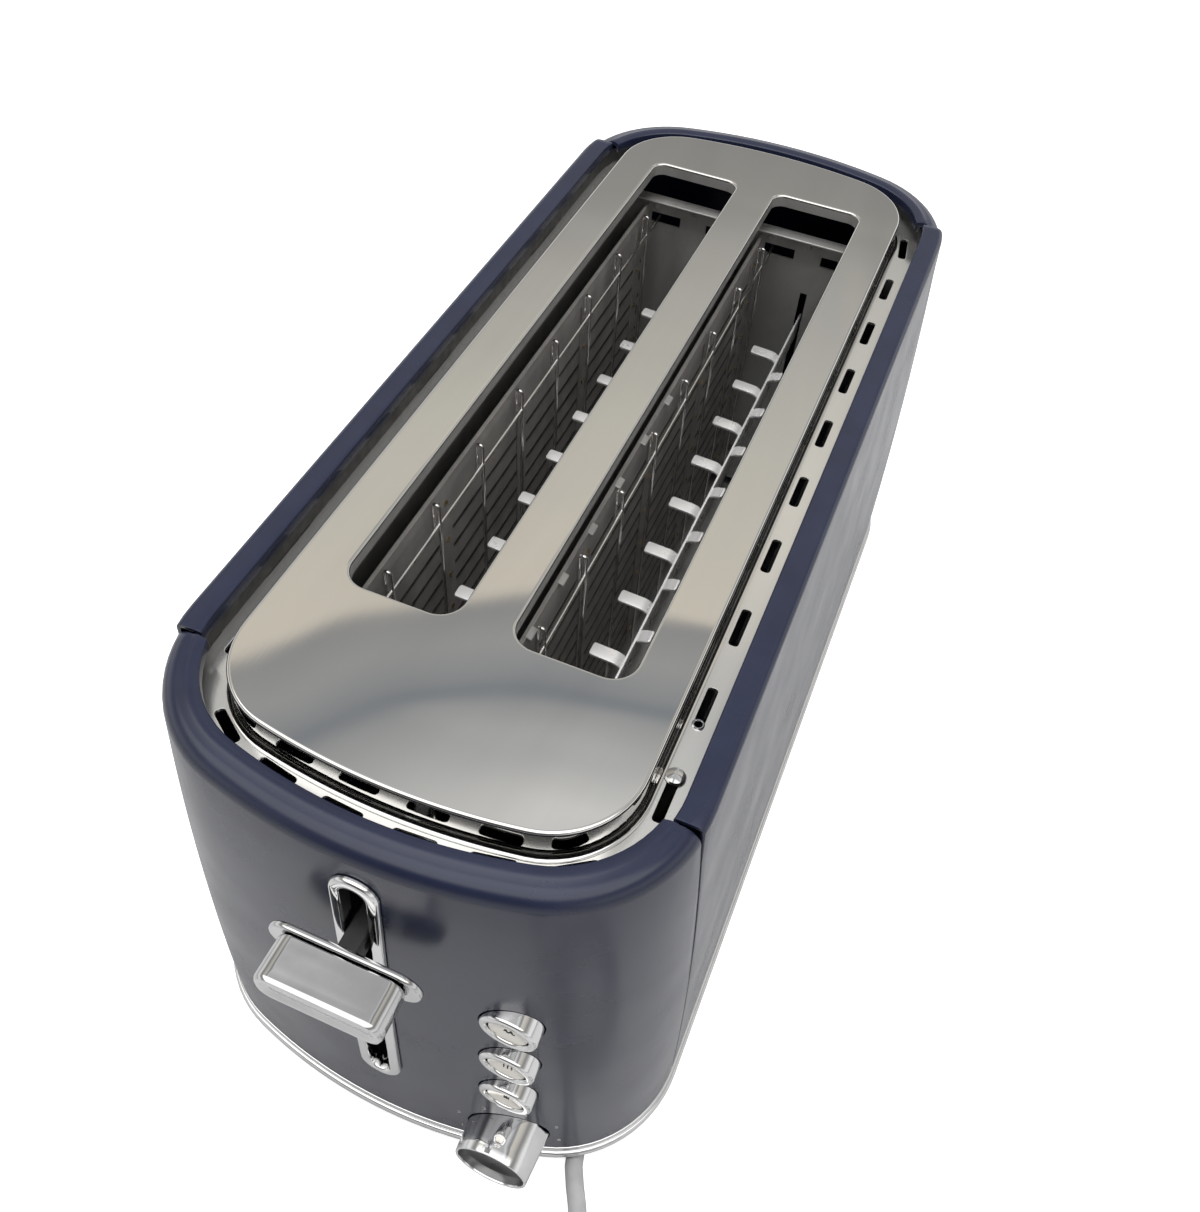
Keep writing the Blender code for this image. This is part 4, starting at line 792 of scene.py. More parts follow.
# vented deck, sunk inside the rim
deck = {"drop": 0.01, "thick": 0.001, "under": 0.006, "edge": 0.0084, "ventLine": 0.0144, "ventWidth": 0.0031,
        "ventCorner": 0.0011, "sideLength": 0.0152, "sidePitch": 0.0324, "sideShift": 0.0033, "sideCount": 10,
        "endLength": 0.0125, "endPitch": 0.0215, "endCount": 6, "ventEdge": 0.00025, "shadeLiner": 0.0012}
plate = {"sizes": (0.0618, 0.1764, 0.028, 0.2112), "edge": 0.0013, "thick": 0.0014, "foot": 0.0019,
         "footTall": 0.0024, "gap": 0.0002, "slotX": 0.0271, "slotY": 0.0123, "slotHalf": (0.01865, 0.1325),
         "slotCorner": 0.008, "rearCorner": 0.005, "lipDepth": 0.005, "lipWall": 0.0012, "lipRound": 0.001}
deckTop = rimTop - deck["drop"]


def ventSpots():  # (x, y, heading, length) of each vent, on a line just inside the rim
    halfWidth, halfLength, corner, bow = (size - deck["ventLine"] for size in shell["rim"])
    cornerX, bowY = halfWidth - corner, bow - halfLength
    cornerY = bowY - math.sqrt((bow - corner) ** 2 - cornerX ** 2)
    meet = math.atan2(cornerX, bowY - cornerY)
    spots = []
    for index in range(deck["endCount"] // 2):
        walk = deck["endPitch"] * (index + 0.5)
        if walk <= bow * meet:
            turn = walk / bow
            x, y = bow * math.sin(turn), bowY - bow * math.cos(turn)
        else:
            turn = meet + (walk - bow * meet) / corner
            x, y = cornerX + corner * math.sin(turn), cornerY - corner * math.cos(turn)
        for sx in (-1, 1):
            for sy in (-1, 1):
                spots.append((sx * x, sy * y, math.atan2(sy * math.sin(turn), sx * math.cos(turn)),
                              deck["endLength"]))
    for index in range(deck["sideCount"]):
        y = deck["sideShift"] + deck["sidePitch"] * (index - (deck["sideCount"] - 1) / 2)
        turn = max(abs(y) + cornerY, 0) / corner * (1 if y > 0 else -1)
        for sx in (-1, 1):
            spots.append((sx * (cornerX + corner * math.cos(turn)), min(max(y, cornerY), -cornerY)
                          + corner * math.sin(turn), math.atan2(math.cos(turn), -sx * math.sin(turn)),
                          deck["sideLength"]))
    return [(x, y + middleY, heading, length) for x, y, heading, length in spots]


def roundedLoop(halfX, halfY, radius, steps=8, upper=None):  # a rounded rectangle about the origin, as (a, b)
    loop = []
    for corner, (sx, sy) in enumerate(((1, 1), (-1, 1), (-1, -1), (1, -1))):
        size = upper if upper and sy > 0 else radius
        for step in range(steps + 1):
            turn = math.pi / 2 * (corner + step / steps)
            loop.append((sx * (halfX - size) + size * math.cos(turn), sy * (halfY - size)
                         + size * math.sin(turn)))
    return loop


def slab(name, loop, low, high):  # a plan outline between two heights
    return ringByRing(name, [[Vector((x, y, height)) for x, y in loop] for height in (low, high)])


def buildDeck():
    under = deckTop - deck["thick"]
    outer = [planOutline(shell["rim"], deck["edge"], height) for height in (deckTop, under)]
    inner = [planOutline(plate["sizes"], deck["under"], height) for height in (under, deckTop)]
    sheet = ringByRing("ventDeck", outer + inner, closed=True)
    spots, cutters = ventSpots(), []
    for x, y, heading, length in spots:
        radius = deck["ventWidth"] / 2
        loop = roundedLoop(length / 2, radius, deck["ventCorner"], 5)
        along, across = math.cos(heading), math.sin(heading)
        outline = [(x + a * along - b * across, y + a * across + b * along) for a, b in loop]
        cutters.append(tidyMesh(slab("vent", outline, under - 0.002, deckTop + 0.002), 0.00002))
    cutWith(sheet, joinAll("vents", cutters))

    def ventLip(edge):
        middle = (edge.verts[0].co + edge.verts[1].co) / 2
        return (edgeAngle(edge, 60) and middle.z > deckTop - 0.0001
                and any(math.hypot(middle.x - x, middle.y - y) < length / 2 + 0.0002
                        for x, y, heading, length in spots))

    bevelWhere(sheet, ventLip, deck["ventEdge"], 2)
    dress(sheet, "housing", deckSteel, "vent_deck", 35, flatTop=True)
    # painted shade: a black ring under the rim's lip, a dark sheet standing in the gap down to the deck where
    # there is only shade
    low, high = deckTop - 0.002, rimTop - shell["lipDepth"] + 0.0008
    inner, outer = deck["edge"], deck["edge"] - deck["shadeLiner"]
    shadeLiner = ringByRing("deckShadeLiner", [planOutline(shell["rim"], inset, height) for inset, height in (
        (outer, low), (outer, high), (inner - 0.0003, high), (inner, high - 0.0003), (inner, low))],
                       closed=True)
    dress(shadeLiner, "housing", blackPlastic, (), 35)
    return spots


def buildDeckScrews(spots):  # a screw head over one vent's end, and a small eyelet at the next one's
    side = sorted([spot for spot in spots if spot[3] == deck["sideLength"] and spot[0] > 0],
                  key=lambda spot: spot[1])
    x, y, heading, length = side[0]
    way = Vector((math.cos(heading), math.sin(heading), 0)) * (1 if math.sin(heading) > 0 else -1)
    spot = Vector((x, y, deckTop)) + way * (length / 2 - 0.0004)
    head = turned("deckScrewHead", [(0, -0.0009), (0.002, -0.0009), (0.0028, 0.0001), (0.003, 0.0006),
                                    (0.0026, 0.0013), (0.0016, 0.0017), (0, 0.0019)], spot, sides=32)
    slot = block("screwSlot", spot + Vector((-0.00025, -0.0035, 0.0013)), spot
                 + Vector((0.00025, 0.0035, 0.003)))
    cutWith(head, slot)
    dress(head, "housing", chrome, (), 30)
    x, y, heading, length = side[1]
    way = Vector((math.cos(heading), math.sin(heading), 0)) * (1 if math.sin(heading) > 0 else -1)
    spot = Vector((x, y, deckTop)) - way * (length / 2 - 0.0012)
    rim = [(0.0011, -0.0004), (0.0019, -0.0004), (0.0019, 0.0003), (0.0016, 0.0006), (0.0013, 0.0006),
           (0.0011, 0.0003)]
    eyelet = turned("deckEyelet", rim, spot, sides=24, bored=True)
    dress(eyelet, "housing", chrome, (), 40)


ventPlaces = buildDeck()
buildDeckScrews(ventPlaces)
print("deck vented")


# raised plate: a pressed pan with two rolled bread slots
def buildPlate():
    skirt = deckTop + plate["gap"]

    def pan(inset, top, bottom):  # a turned-out foot, an upright skirt and a tight roll at the top
        rings = [planOutline(plate["sizes"], inset - plate["foot"], bottom)]
        for step in range(7):
            turn = math.pi / 2 * step / 6
            rings.append(planOutline(plate["sizes"], inset - plate["foot"] * (1 - math.sin(turn)),
                                     bottom + 0.0003 + plate["footTall"] * (1 - math.cos(turn))))
        rings.append(planOutline(plate["sizes"], inset, top - plate["edge"]))
        for step in range(1, 7):
            turn = math.pi / 2 * step / 6
            rings.append(planOutline(plate["sizes"], inset + plate["edge"] * (1 - math.cos(turn)),
                                     top - plate["edge"] * (1 - math.sin(turn))))
        return rings

    body = ringByRing("slottedPlate", pan(0, plateTop, skirt))
    cutWith(body, ringByRing("hollow", pan(plate["thick"], plateTop - plate["thick"], skirt - 0.001)))

    def slotLoop(side, grow, steps=10):
        return [(side * plate["slotX"] + x, plate["slotY"] + middleY + y)
                for x, y in roundedLoop(plate["slotHalf"][0] + grow, plate["slotHalf"][1] + grow,
                                        plate["slotCorner"] + grow, steps, plate["rearCorner"] + grow)]

    lips = [slab("lip", slotLoop(side, plate["lipWall"]), plateTop - plate["lipDepth"],
                 plateTop - plate["thick"] / 2) for side in (-1, 1)]
    cutWith(body, *lips, operation="UNION")
    cutWith(body, *[slab("slot", slotLoop(side, 0), plateTop - 0.02, plateTop + 0.01) for side in (-1, 1)])

    def slotRim(edge):
        middle = (edge.verts[0].co + edge.verts[1].co) / 2
        return edgeAngle(edge, 60) and middle.z > plateTop - 0.0001

    bevelWhere(body, slotRim, plate["lipRound"], 4)
    dress(body, "housing", topSteel, "top_plate", 40, flatTop=True)
    body.data.materials.append(zinc)  # the slots' turned-down lips stay unpolished
    reach = plate["slotX"] + plate["slotHalf"][0] + 0.0002
    pick(body, lambda face: abs(face.normal.z) < 0.6 and face.calc_center_median().z < plateTop - plate[
        "lipRound"] * 0.9 and abs(face.calc_center_median().x) < reach
         and abs(face.calc_center_median().y - middleY - plate["slotY"]) < plate["slotHalf"][1] + 0.0002)
    body.active_material_index = 1
    bpy.ops.object.material_slot_assign()
    leaveEdit()


buildPlate()
print("plate pressed")


# chassis plates across the ends of the slots
chassis = {"frontY": -0.1277, "rearY": 0.1493, "thick": 0.001, "halfWidth": 0.069, "topHalfWidth": 0.062,
           "leg": 0.0055, "archTop": 0.025, "bottom": 0.0113, "shoulder": 0.015, "topDrop": 0.0045,
           "flange": 0.005, "rivets": 6, "rivetPitch": 0.018}
guard = {"offset": 0.0169, "wire": 0.0008, "bottom": 0.0432, "wireTop": plateTop - 0.0287,
         "top": plateTop - 0.02, "pitch": 0.0331, "count": 8, "shift": 0.0064, "tail": 0.0013,
         "slotOut": 0.0032, "slotIn": 0.0108, "slotTall": 0.005, "slotGap": 0.0005, "hook": 0.0024,
         "hookDrop": 0.012}
lift = {"level": 0.1347, "thick": 0.0012, "depth": 0.012, "bandShift": 0.0019, "band": 0.0009,
        "pitch": 0.0266, "count": 9, "tabWidth": 0.0056, "shifts": (0.0011, -0.0026), "leftReach": 0.0105,
        "rightReach": 0.0073, "tail": 0.0035, "gap": 0.001, "down": 0.07, "up": 0.012, "corner": 0.0008}
chassisTop = deckTop - deck["thick"] - chassis["topDrop"]
guardRests = [(side * plate["slotX"] - inward * guard["offset"], inward) for side in (-1, 1)
              for inward in (1, -1)]


def buildChassis(name, y, node, fold):  # fold: which way the flange turns at the top
    half, topHalf = chassis["halfWidth"], chassis["topHalfWidth"]
    legInner = half - chassis["leg"]
    outline = [(-half, chassis["bottom"]), (-legInner, chassis["bottom"]), (-legInner, chassis["archTop"]),
               (legInner, chassis["archTop"]), (legInner, chassis["bottom"]), (half, chassis["bottom"]),
               (half, chassisTop - chassis["shoulder"]), (topHalf, chassisTop), (-topHalf, chassisTop),
               (-half, chassisTop - chassis["shoulder"])]
    low, high = y + middleY, y + middleY + chassis["thick"]
    sheet = ringByRing(name, [[Vector((x, depth, z)) for x, z in outline] for depth in (low, high)])
    cutters = []
    for side in (-1, 1):
        x = side * plate["slotX"] + lift["bandShift"]
        gap = lift["thick"] / 2 + lift["gap"]
        cutters.append(
            block("liftSlot",
                  (x - gap, low - 0.002, lift["level"] - lift["down"] - lift["depth"] - lift["gap"]),
                  (x + gap, high + 0.002, lift["level"] + lift["up"] + lift["gap"])))
    for rest, inward in guardRests:
        ends = sorted((rest - inward * guard["slotOut"], rest + inward * guard["slotIn"]))
        for bottom in (guard["bottom"], guard["wireTop"] - 2 * guard["wire"]):
            cutters.append(block("guardSlot", (ends[0], low - 0.002, bottom - guard["slotGap"]),
                                 (ends[1], high + 0.002, bottom - guard["slotGap"] + guard["slotTall"])))
    cutWith(sheet, joinAll("chassisSlots", cutters))
    parts = [sheet]
    face = low if fold > 0 else high  # a flange along the top stands over the slots' ends
    ends = sorted((face, face - fold * chassis["flange"]))
    parts.append(block("flange", (-topHalf + 0.002, ends[0], chassisTop - 0.001),
                       (topHalf - 0.002, ends[1], chassisTop), 0.0004, 3))
    for index in range(chassis["rivets"]):
        x = (index - (chassis["rivets"] - 1) / 2) * chassis["rivetPitch"]
        parts.append(turned("rivet", [(0.0013, -0.0004), (0.0013, 0.0001), (0.001, 0.0005), (0.0005, 0.0007),
                                      (0, 0.0008)], (x, face, chassisTop - 0.0052), (0, -fold, 0), 16))
    piece = joinAll(name, parts)
    dress(piece, "housing", zinc, node, 30)


buildChassis("frontChassis", chassis["frontY"], "front_chassis_plate", -1)
buildChassis("rearChassis", chassis["rearY"] - chassis["thick"], "rear_chassis_plate", 1)
print("chassis plates folded")


# heaters: a mica board with flat ribbon wound over it, strips, rivets and small steel flaps
def micaSheet():
    mica = Finish("micaSheet", 0.55)
    mica.colour(mica.ramp(mica.noise(34, (1, 1, 0.5), 6, 1.5),
                          [(0.25, (0.205, 0.195, 0.186)), (0.55, (0.27, 0.258, 0.246)),
                           (0.8, (0.335, 0.315, 0.295))]))
    mica.gloss(mica.noise(90, detail=4), 0.4, 0.7)
    mica.bump(mica.noise(320, detail=3), 0.00006, 0.6)
    return mica.material


def nichrome():
    ribbon = Finish("nichromeRibbon", 0.42, 0.9)
    ribbon.colour(ribbon.ramp(ribbon.noise(70, (1, 1, 3), 4),
                              [(0.3, (0.06, 0.055, 0.055)), (0.7, (0.16, 0.14, 0.13))]))
    return ribbon.material


def warmBrass():
    brass = Finish("warmBrass", 0.28, 1.0)
    brass.colour(brass.ramp(brass.noise(120, detail=4),
                            [(0.3, (0.58, 0.42, 0.19)), (0.7, (0.74, 0.58, 0.3))]))
    brass.gloss(brass.noise(240, detail=3), 0.2, 0.38)
    return brass.material


mica, ribbonSteel, brass = micaSheet(), nichrome(), warmBrass()
heater = {"offset": 0.02205, "thick": 0.001, "bottom": 0.04, "top": plateTop - 0.022, "ribbonPitch": 0.0095,
          "ribbonTall": 0.0014, "ribbonThick": 0.00022, "stripWidth": 0.008, "stripThick": 0.0003,
          "strips": 5, "rivetPitch": 0.019, "flapPitch": 0.0246, "flapCount": 6, "flapStart": -0.099,
          "flap": (0.0021, 0.005, 0.001)}
bay = (chassis["frontY"] + 0.0003 + middleY, chassis["rearY"] - 0.0003 + middleY)


def buildHeater():  # faces +X; every board is a copy of this one
    back, face = -heater["thick"] / 2, heater["thick"] / 2
    sheet = block("micaBoard", (back, bay[0], heater["bottom"]), (face, bay[1], heater["top"]), 0.0002, 1)
    parts = [dress(sheet, "housing", mica)]
    count = int((heater["top"] - heater["bottom"] - 0.018) / heater["ribbonPitch"]) + 1
    ribbons = []
    for index in range(count):
        z = heater["bottom"] + 0.009 + heater["ribbonPitch"] * index
        ribbon = block("ribbon", (face - 0.0002, bay[0] + 0.006, z),
                       (face + heater["ribbonThick"], bay[1] - 0.006, z + heater["ribbonTall"]), 0.00006, 1)
        for end in (bay[0] + 0.006, bay[1] - 0.006):
            way = 1 if end < middleY else -1
            ribbons.append(block("ribbonEnd", (face - 0.0002, min(end, end + way * 0.0014), z),
                                 (face + heater["ribbonThick"] * 2, max(end, end + way * 0.0014),
                                  z + heater["ribbonTall"] + (0.003 if index % 2 else 0)), 0.00006, 1))
        ribbons.append(ribbon)
    parts.append(dress(joinAll("ribbons", ribbons), "housing", ribbonSteel))
    strips, rivets = [], []
    for index in range(heater["strips"]):
        y = mix(bay[0] + 0.012, bay[1] - 0.012, index / (heater["strips"] - 1))
        strip = block("strip", (face + heater["ribbonThick"] - 0.0003, y - heater["stripWidth"] / 2,
                                heater["bottom"] + 0.002),
                      (face + heater["ribbonThick"] + heater["stripThick"], y + heater["stripWidth"] / 2,
                       heater["top"] - 0.001), 0.0001, 1)
        strips.append(strip)
        for step in range(7):
            z = heater["bottom"] + 0.008 + heater["rivetPitch"] * step
            rivets.append(turned("boardRivet", [(0.0011, 0), (0.0011, 0.0002), (0.0007, 0.0005), (0, 0.0006)],
                                 (face + heater["ribbonThick"] + heater["stripThick"] - 0.00005, y, z),
                                 (1, 0, 0), 12))
    strips.append(block("topStrip", (face - 0.0002, bay[0] + 0.003, heater["top"] - 0.006),
                        (face + heater["stripThick"] * 1.5, bay[1] - 0.003, heater["top"] - 0.0003), 0.0001,
                        1))
    parts.append(dress(joinAll("strips", strips), "housing", mica))
    parts.append(dress(joinAll("rivets", rivets), "housing", brass))
    return joinAll("heaterMaster", parts)


def buildFlaps():  # small bent lugs on the inner boards' top edges, towards the front
    face, flaps = heater["thick"] / 2, []
    out, wide, tall = heater["flap"]
    for index in range(heater["flapCount"]):
        y = heater["flapStart"] + middleY + heater["flapPitch"] * index
        flap = block("flap", (face - 0.0001, y - wide / 2, heater["top"] - tall),
                     (face + out, y + wide / 2, heater["top"]), 0.0002, 1)
        pick(flap, lambda vert: vert.co.x > face + out / 2, "VERT")
        bpy.ops.transform.translate(value=(0, 0, -0.0006))
        leaveEdit()
        flaps.append(flap)
    return dress(joinAll("flaps", flaps), "housing", zinc)


def placeHeaters():
    master, flaps = buildHeater(), buildFlaps()
    number = 0
    for side in (-1, 1):
        for reach in (-heater["offset"], heater["offset"]):
            number += 1
            x = side * plate["slotX"] + reach
            change = Matrix.Translation((x, 0, 0))
            if reach > 0:  # the far board of a slot looks the other way
                change = change @ mirrorX
            board = copyOf(master, f"heaterBoard{number}", change)
            if number in (2, 3):
                board = joinAll(board.name, [board, copyOf(flaps, "lugs", change)])
            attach(board, "housing")
            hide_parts(f"heater_board_{number}")
    for spare in (master, flaps):
        bpy.data.objects.remove(spare, do_unlink=True)


placeHeaters()


# steel shields outside the heaters, each with folded edges and pressed ribs
def buildShields():
    low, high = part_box("side_heat_shield_right")
    thick, fold = high[0] - low[0], 0.004  # each long edge turns in by the fold
    parts = [block("shieldSheet", low, high, 0.0002, 1)]
    for z in (low[2], high[2] - thick):
        parts.append(block("shieldFold", (low[0] - fold, low[1] + 0.001, z),
                           (high[0], high[1] - 0.001, z + thick), 0.0003, 2))
    for index in range(4):
        z = mix(low[2] + 0.026, high[2] - 0.026, index / 3)
        parts.append(block("shieldRib", (high[0] - 0.0001, low[1] + 0.018, z - 0.003),
                           (high[0] + 0.0009, high[1] - 0.018, z + 0.003), 0.0008, 3))
    right = joinAll("heatShieldRight", parts)
    left = copyOf(right, "heatShieldLeft", mirrorX)
    for piece, word in ((right, "right"), (left, "left")):
        dress(piece, "housing", zinc, f"side_heat_shield_{word}", 30)


buildShields()
print("heaters and shields in")


# bread guards: round wire, hooked outwards over each upright
def guardWire():
    steel = Finish("guardWireSteel", 0.2, 1.0)
    steel.colour(steel.ramp(steel.noise(60, (1, 1, 1), 4),
                            [(0.3, (0.8, 0.79, 0.775)), (0.7, (0.92, 0.91, 0.895))]))
    steel.gloss(steel.noise(150, detail=4), 0.15, 0.27)
    return steel.material


wireSteel = guardWire()


def buildGuards():  # the master stands at x = 0 and hooks towards -X
    radius, hook = guard["wire"], guard["hook"]
    tails = (chassis["frontY"] - chassis["thick"] - guard["tail"] + middleY,
             chassis["rearY"] + chassis["thick"] + guard["tail"] + middleY)
    parts = []
    for z in (guard["bottom"] + radius, guard["wireTop"] - radius):
        parts.append(wire("longWire", [(0, tails[0], z), (0, tails[0] + 0.0004, z), (0, tails[1] - 0.0004, z),
                                       (0, tails[1], z)], radius, 10))
    for index in range(guard["count"]):
        y = plate["slotY"] + guard["shift"] + guard["pitch"] * (index - (guard["count"] - 1) / 2) + middleY
        low, high = guard["bottom"] + radius, guard["top"] - hook / 2 - radius
        line = [Vector((0, y, low)), Vector((0, y, mix(low, high, 0.5)))]
        line += arcPoints((-hook / 2, y, high), (0, y, high), (0, 1, 0), -math.pi, 10)
        line.append(Vector((-hook, y, high - guard["hookDrop"])))
        parts.append(wire("upright", line, radius * 0.9, 8, up=(0, 1, 0)))
    master = joinAll("guardMaster", parts)
    for number, (rest, inward) in enumerate(guardRests, 1):
        change = Matrix.Translation((rest, 0, 0))
        if inward < 0:
            change = change @ mirrorX
        piece = copyOf(master, f"breadGuard{number}", change)
        dress(piece, f"guard_{number}", wireSteel, f"bread_guard_{number}", 50)
    bpy.data.objects.remove(master, do_unlink=True)


buildGuards()


# bread lifts: a band on edge, with round-ended tabs let out of its top
def liftSteel():
    steel = Finish("liftSteel", 0.3, 0.5)
    steel.colour(steel.ramp(steel.noise(50, (1, 0.4, 1), 5, 0.6),
                            [(0.3, (0.72, 0.715, 0.7)), (0.7, (0.86, 0.85, 0.84))]))
    steel.gloss(steel.noise(120, detail=4), 0.22, 0.42)
    steel.bump(steel.noise(300, detail=2), 0.00003, 0.4)
    return steel.material


tabSteel = liftSteel()


def buildLifts():
    thick, level, thin = lift["thick"], lift["level"], lift["band"] / 2

    def tab(length):  # bent out of the band's top edge, then level with its free end a little raised
        corner, half = lift["corner"], lift["tabWidth"] / 2
        stations = [(-0.0002, -0.0022, 0), (0.0004, -0.0016, 0), (0.0012, -0.0009, 0), (0.0024, -0.0003, 0),
                    (0.004, 0, 0), (length - corner, 0.0004, 0),
                    (length - corner * 0.4, 0.0004, corner * 0.22), (length - 0.0001, 0.0004, corner * 0.8),
                    (length, 0.0003, corner)]
        return ringByRing("tab",
                          [[Vector((x, a, level - thick / 2 + rise + b))
                            for a, b in roundedLoop(half - inset, thick / 2, 0.0003, 2)]
                           for x, rise, inset in stations])

    masters = {-1: tab(lift["leftReach"] + lift["bandShift"]), 1: tab(lift["rightReach"] - lift["bandShift"])}
    for side, word, shift in ((-1, "left", lift["shifts"][0]), (1, "right", lift["shifts"][1])):
        x = side * plate["slotX"] + lift["bandShift"]
        starts = [plate["slotY"] + shift + lift["pitch"] * (index - (lift["count"] - 1) / 2) + middleY
                  for index in range(lift["count"])]
        ends = (carriage["rearY"] + 0.0003 + middleY, chassis["rearY"] + chassis["thick"] + lift["tail"]
                + middleY)
        parts = [block("band", (x - thin, ends[0], level - lift["depth"]), (x + thin, ends[1], level - thick),
                       0.0002)]
        for index, y in enumerate(starts):
            parts.append(copyOf(masters[-1], "tab", Matrix.Translation((x, y, 0)) @ mirrorX))
            if index:
                parts.append(
                    copyOf(masters[1], "tab", Matrix.Translation((x, (y + starts[index - 1]) / 2, 0))))
        dress(joinAll(f"bread{word.title()}Lift", parts), "carriage", tabSteel, f"bread_lift_{word}", 30)
    for master in masters.values():
        bpy.data.objects.remove(master, do_unlink=True)


# carriage: a folded block on two rods, with its return spring and its magnet's armature
carriage = {"rearY": -0.1347, "frontY": -0.1487, "halfWidth": 0.034, "rodX": 0.014, "rodRadius": 0.0025,
            "rodGap": 0.0004, "springRadius": 0.0032, "springWire": 0.0005, "springTurns": 11}
buildLifts()


def buildCarriage():
    low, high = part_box("carriage_block")
    rodY = (low[1] + high[1]) / 2
    body = block("carriageFrame", low, high, 0.0012, 3)
    hollow = block("hollow", (low[0] + 0.005, low[1] - 0.01, low[2] + 0.003),
                   (-carriage["rodX"] - 0.0052, low[1] + 0.0105, high[2] - 0.003), 0.001, 2)
    cutWith(body, copyOf(hollow, "hollow", mirrorX), hollow)
    for side in (-1, 1):
        bore = carriage["rodRadius"] + carriage["rodGap"]
        cutWith(body, turned("bore", [(bore, -0.02), (bore, 0.04)], (side * carriage["rodX"], rodY, low[2]),
                             sides=32))
    parts = [body]
    for side in (-1, 1):  # a bush round each rod, above and below
        bore, rim = carriage["rodRadius"] + carriage["rodGap"], carriage["rodRadius"] + 0.0022
        for z, way in ((high[2], 1), (low[2], -1)):
            profile = [(bore, -0.001), (rim, -0.001), (rim, 0.001), (rim - 0.0004, 0.0014), (bore, 0.0014)]
            if way < 0:
                profile = [(bore, -0.001), (rim, -0.001), (rim, 0.0002), (bore, 0.0002)]
            seat = (side * carriage["rodX"], rodY, z)
            parts.append(turned("bush", profile, seat, (0, 0, way), 32, bored=True))
    dress(joinAll("carriageFrame", parts), "carriage", zinc, "carriage_block", 30)

    low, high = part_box("armature_plate")
    middle = middleOf("armature_plate")
    outline = roundedLoop((high[0] - low[0]) / 2, (high[1] - low[1]) / 2, 0.0016, 5)
    armature = slab("magnetArmature", [(middle.x + x, middle.y + y) for x, y in outline], low[2], high[2])
    bevelWhere(armature, lambda edge: edgeAngle(edge, 60), 0.0003, 2)
    dress(armature, "carriage", zinc, "armature_plate", 30)

    for side, word in ((-1, "left"), (1, "right")):
        low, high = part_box(f"guide_rod_{word}")
        radius = carriage["rodRadius"]
        rod = turned(f"{word}GuideRod", [(radius - 0.0005, 0), (radius, 0.0005), (radius, 0.004),
                                         (radius - 0.0004, 0.0043), (radius - 0.0004, 0.0052),
                                         (radius, 0.0055), (radius, high[2] - low[2] - 0.0005),
                                         (radius - 0.0005, high[2] - low[2])],
                     ((low[0] + high[0]) / 2, rodY, low[2]), sides=32)
        dress(rod, "housing", chrome, f"guide_rod_{word}", 30)

    low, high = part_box("carriage_spring")
    coil, centre = carriage["springRadius"] - carriage["springWire"], ((low[0] + high[0]) / 2, rodY)
    steps = carriage["springTurns"] * 24
    points = []
    for step in range(steps + 1):
        share = step / steps
        rise = min(max((share - 0.06) / 0.88, 0), 1)  # closed turns at both ends
        turn = math.tau * carriage["springTurns"] * share
        points.append((centre[0] + coil * math.cos(turn), centre[1] + coil * math.sin(turn),
                       mix(low[2] + carriage["springWire"], high[2] - carriage["springWire"], 0.04 * share
                           + 0.96 * rise)))
    spring = wire("returnSpring", points, carriage["springWire"], 8, up=(0, 0, 1))
    dress(spring, None, tabSteel, "carriage_spring", 60)
    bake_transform(spring)


buildCarriage()


# magnet that holds the carriage down: an iron core and a varnished winding
def copperWinding():
    winding = Finish("copperWinding", 0.32, 0.6)
    wires = winding.nodes.new("ShaderNodeTexWave")
    wires.bands_direction = "Z"
    wires.inputs["Scale"].default_value = 650
    wires.inputs["Distortion"].default_value = 0.6
    winding.links.new(winding.place, wires.inputs["Vector"])
    winding.colour(winding.ramp(wires.outputs["Fac"], [(0.1, (0.16, 0.05, 0.02)), (0.8, (0.55, 0.25, 0.11))]))
    winding.bump(wires.outputs["Fac"], 0.0001, 0.7)
    return winding.material


def buildMagnet():
    low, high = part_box("electromagnet")
    x, y = (low[0] + high[0]) / 2, (low[1] + high[1]) / 2
    depth = (high[1] - low[1]) / 2
    core = [block("coreBack", (low[0], high[1] - 0.003, low[2]), high, 0.0005),
            block("coreFoot", (low[0], low[1], low[2]), (high[0], high[1], low[2] + 0.0026), 0.0005),
            block("corePole", (x - 0.0026, low[1] + 0.0012, low[2] + 0.001),
                  (x + 0.0026, y + 0.0024, high[2]), 0.0005)]
    iron = joinAll("magnetCore", core)
    dress(iron, "housing", zinc, "electromagnet", 30)
    rings = []
    for inset, z in ((0.001, 0.003), (0, 0.0034), (0.0003, 0.0042), (0, 0.005), (0, 0.0112), (0.0003, 0.0118),
                     (0, 0.0122), (0.001, 0.0126)):
        rings.append([Vector((x + a, y - 0.0016 + b, low[2] + z)) for a, b in
                      roundedLoop(high[0] - x - 0.001 - inset, depth - 0.0026 - inset, 0.003, 6)])
    coil = ringByRing("magnetWinding", rings)
    dress(coil, "housing", copperWinding(), (), 30)


buildMagnet()
print("carriage and magnet in")


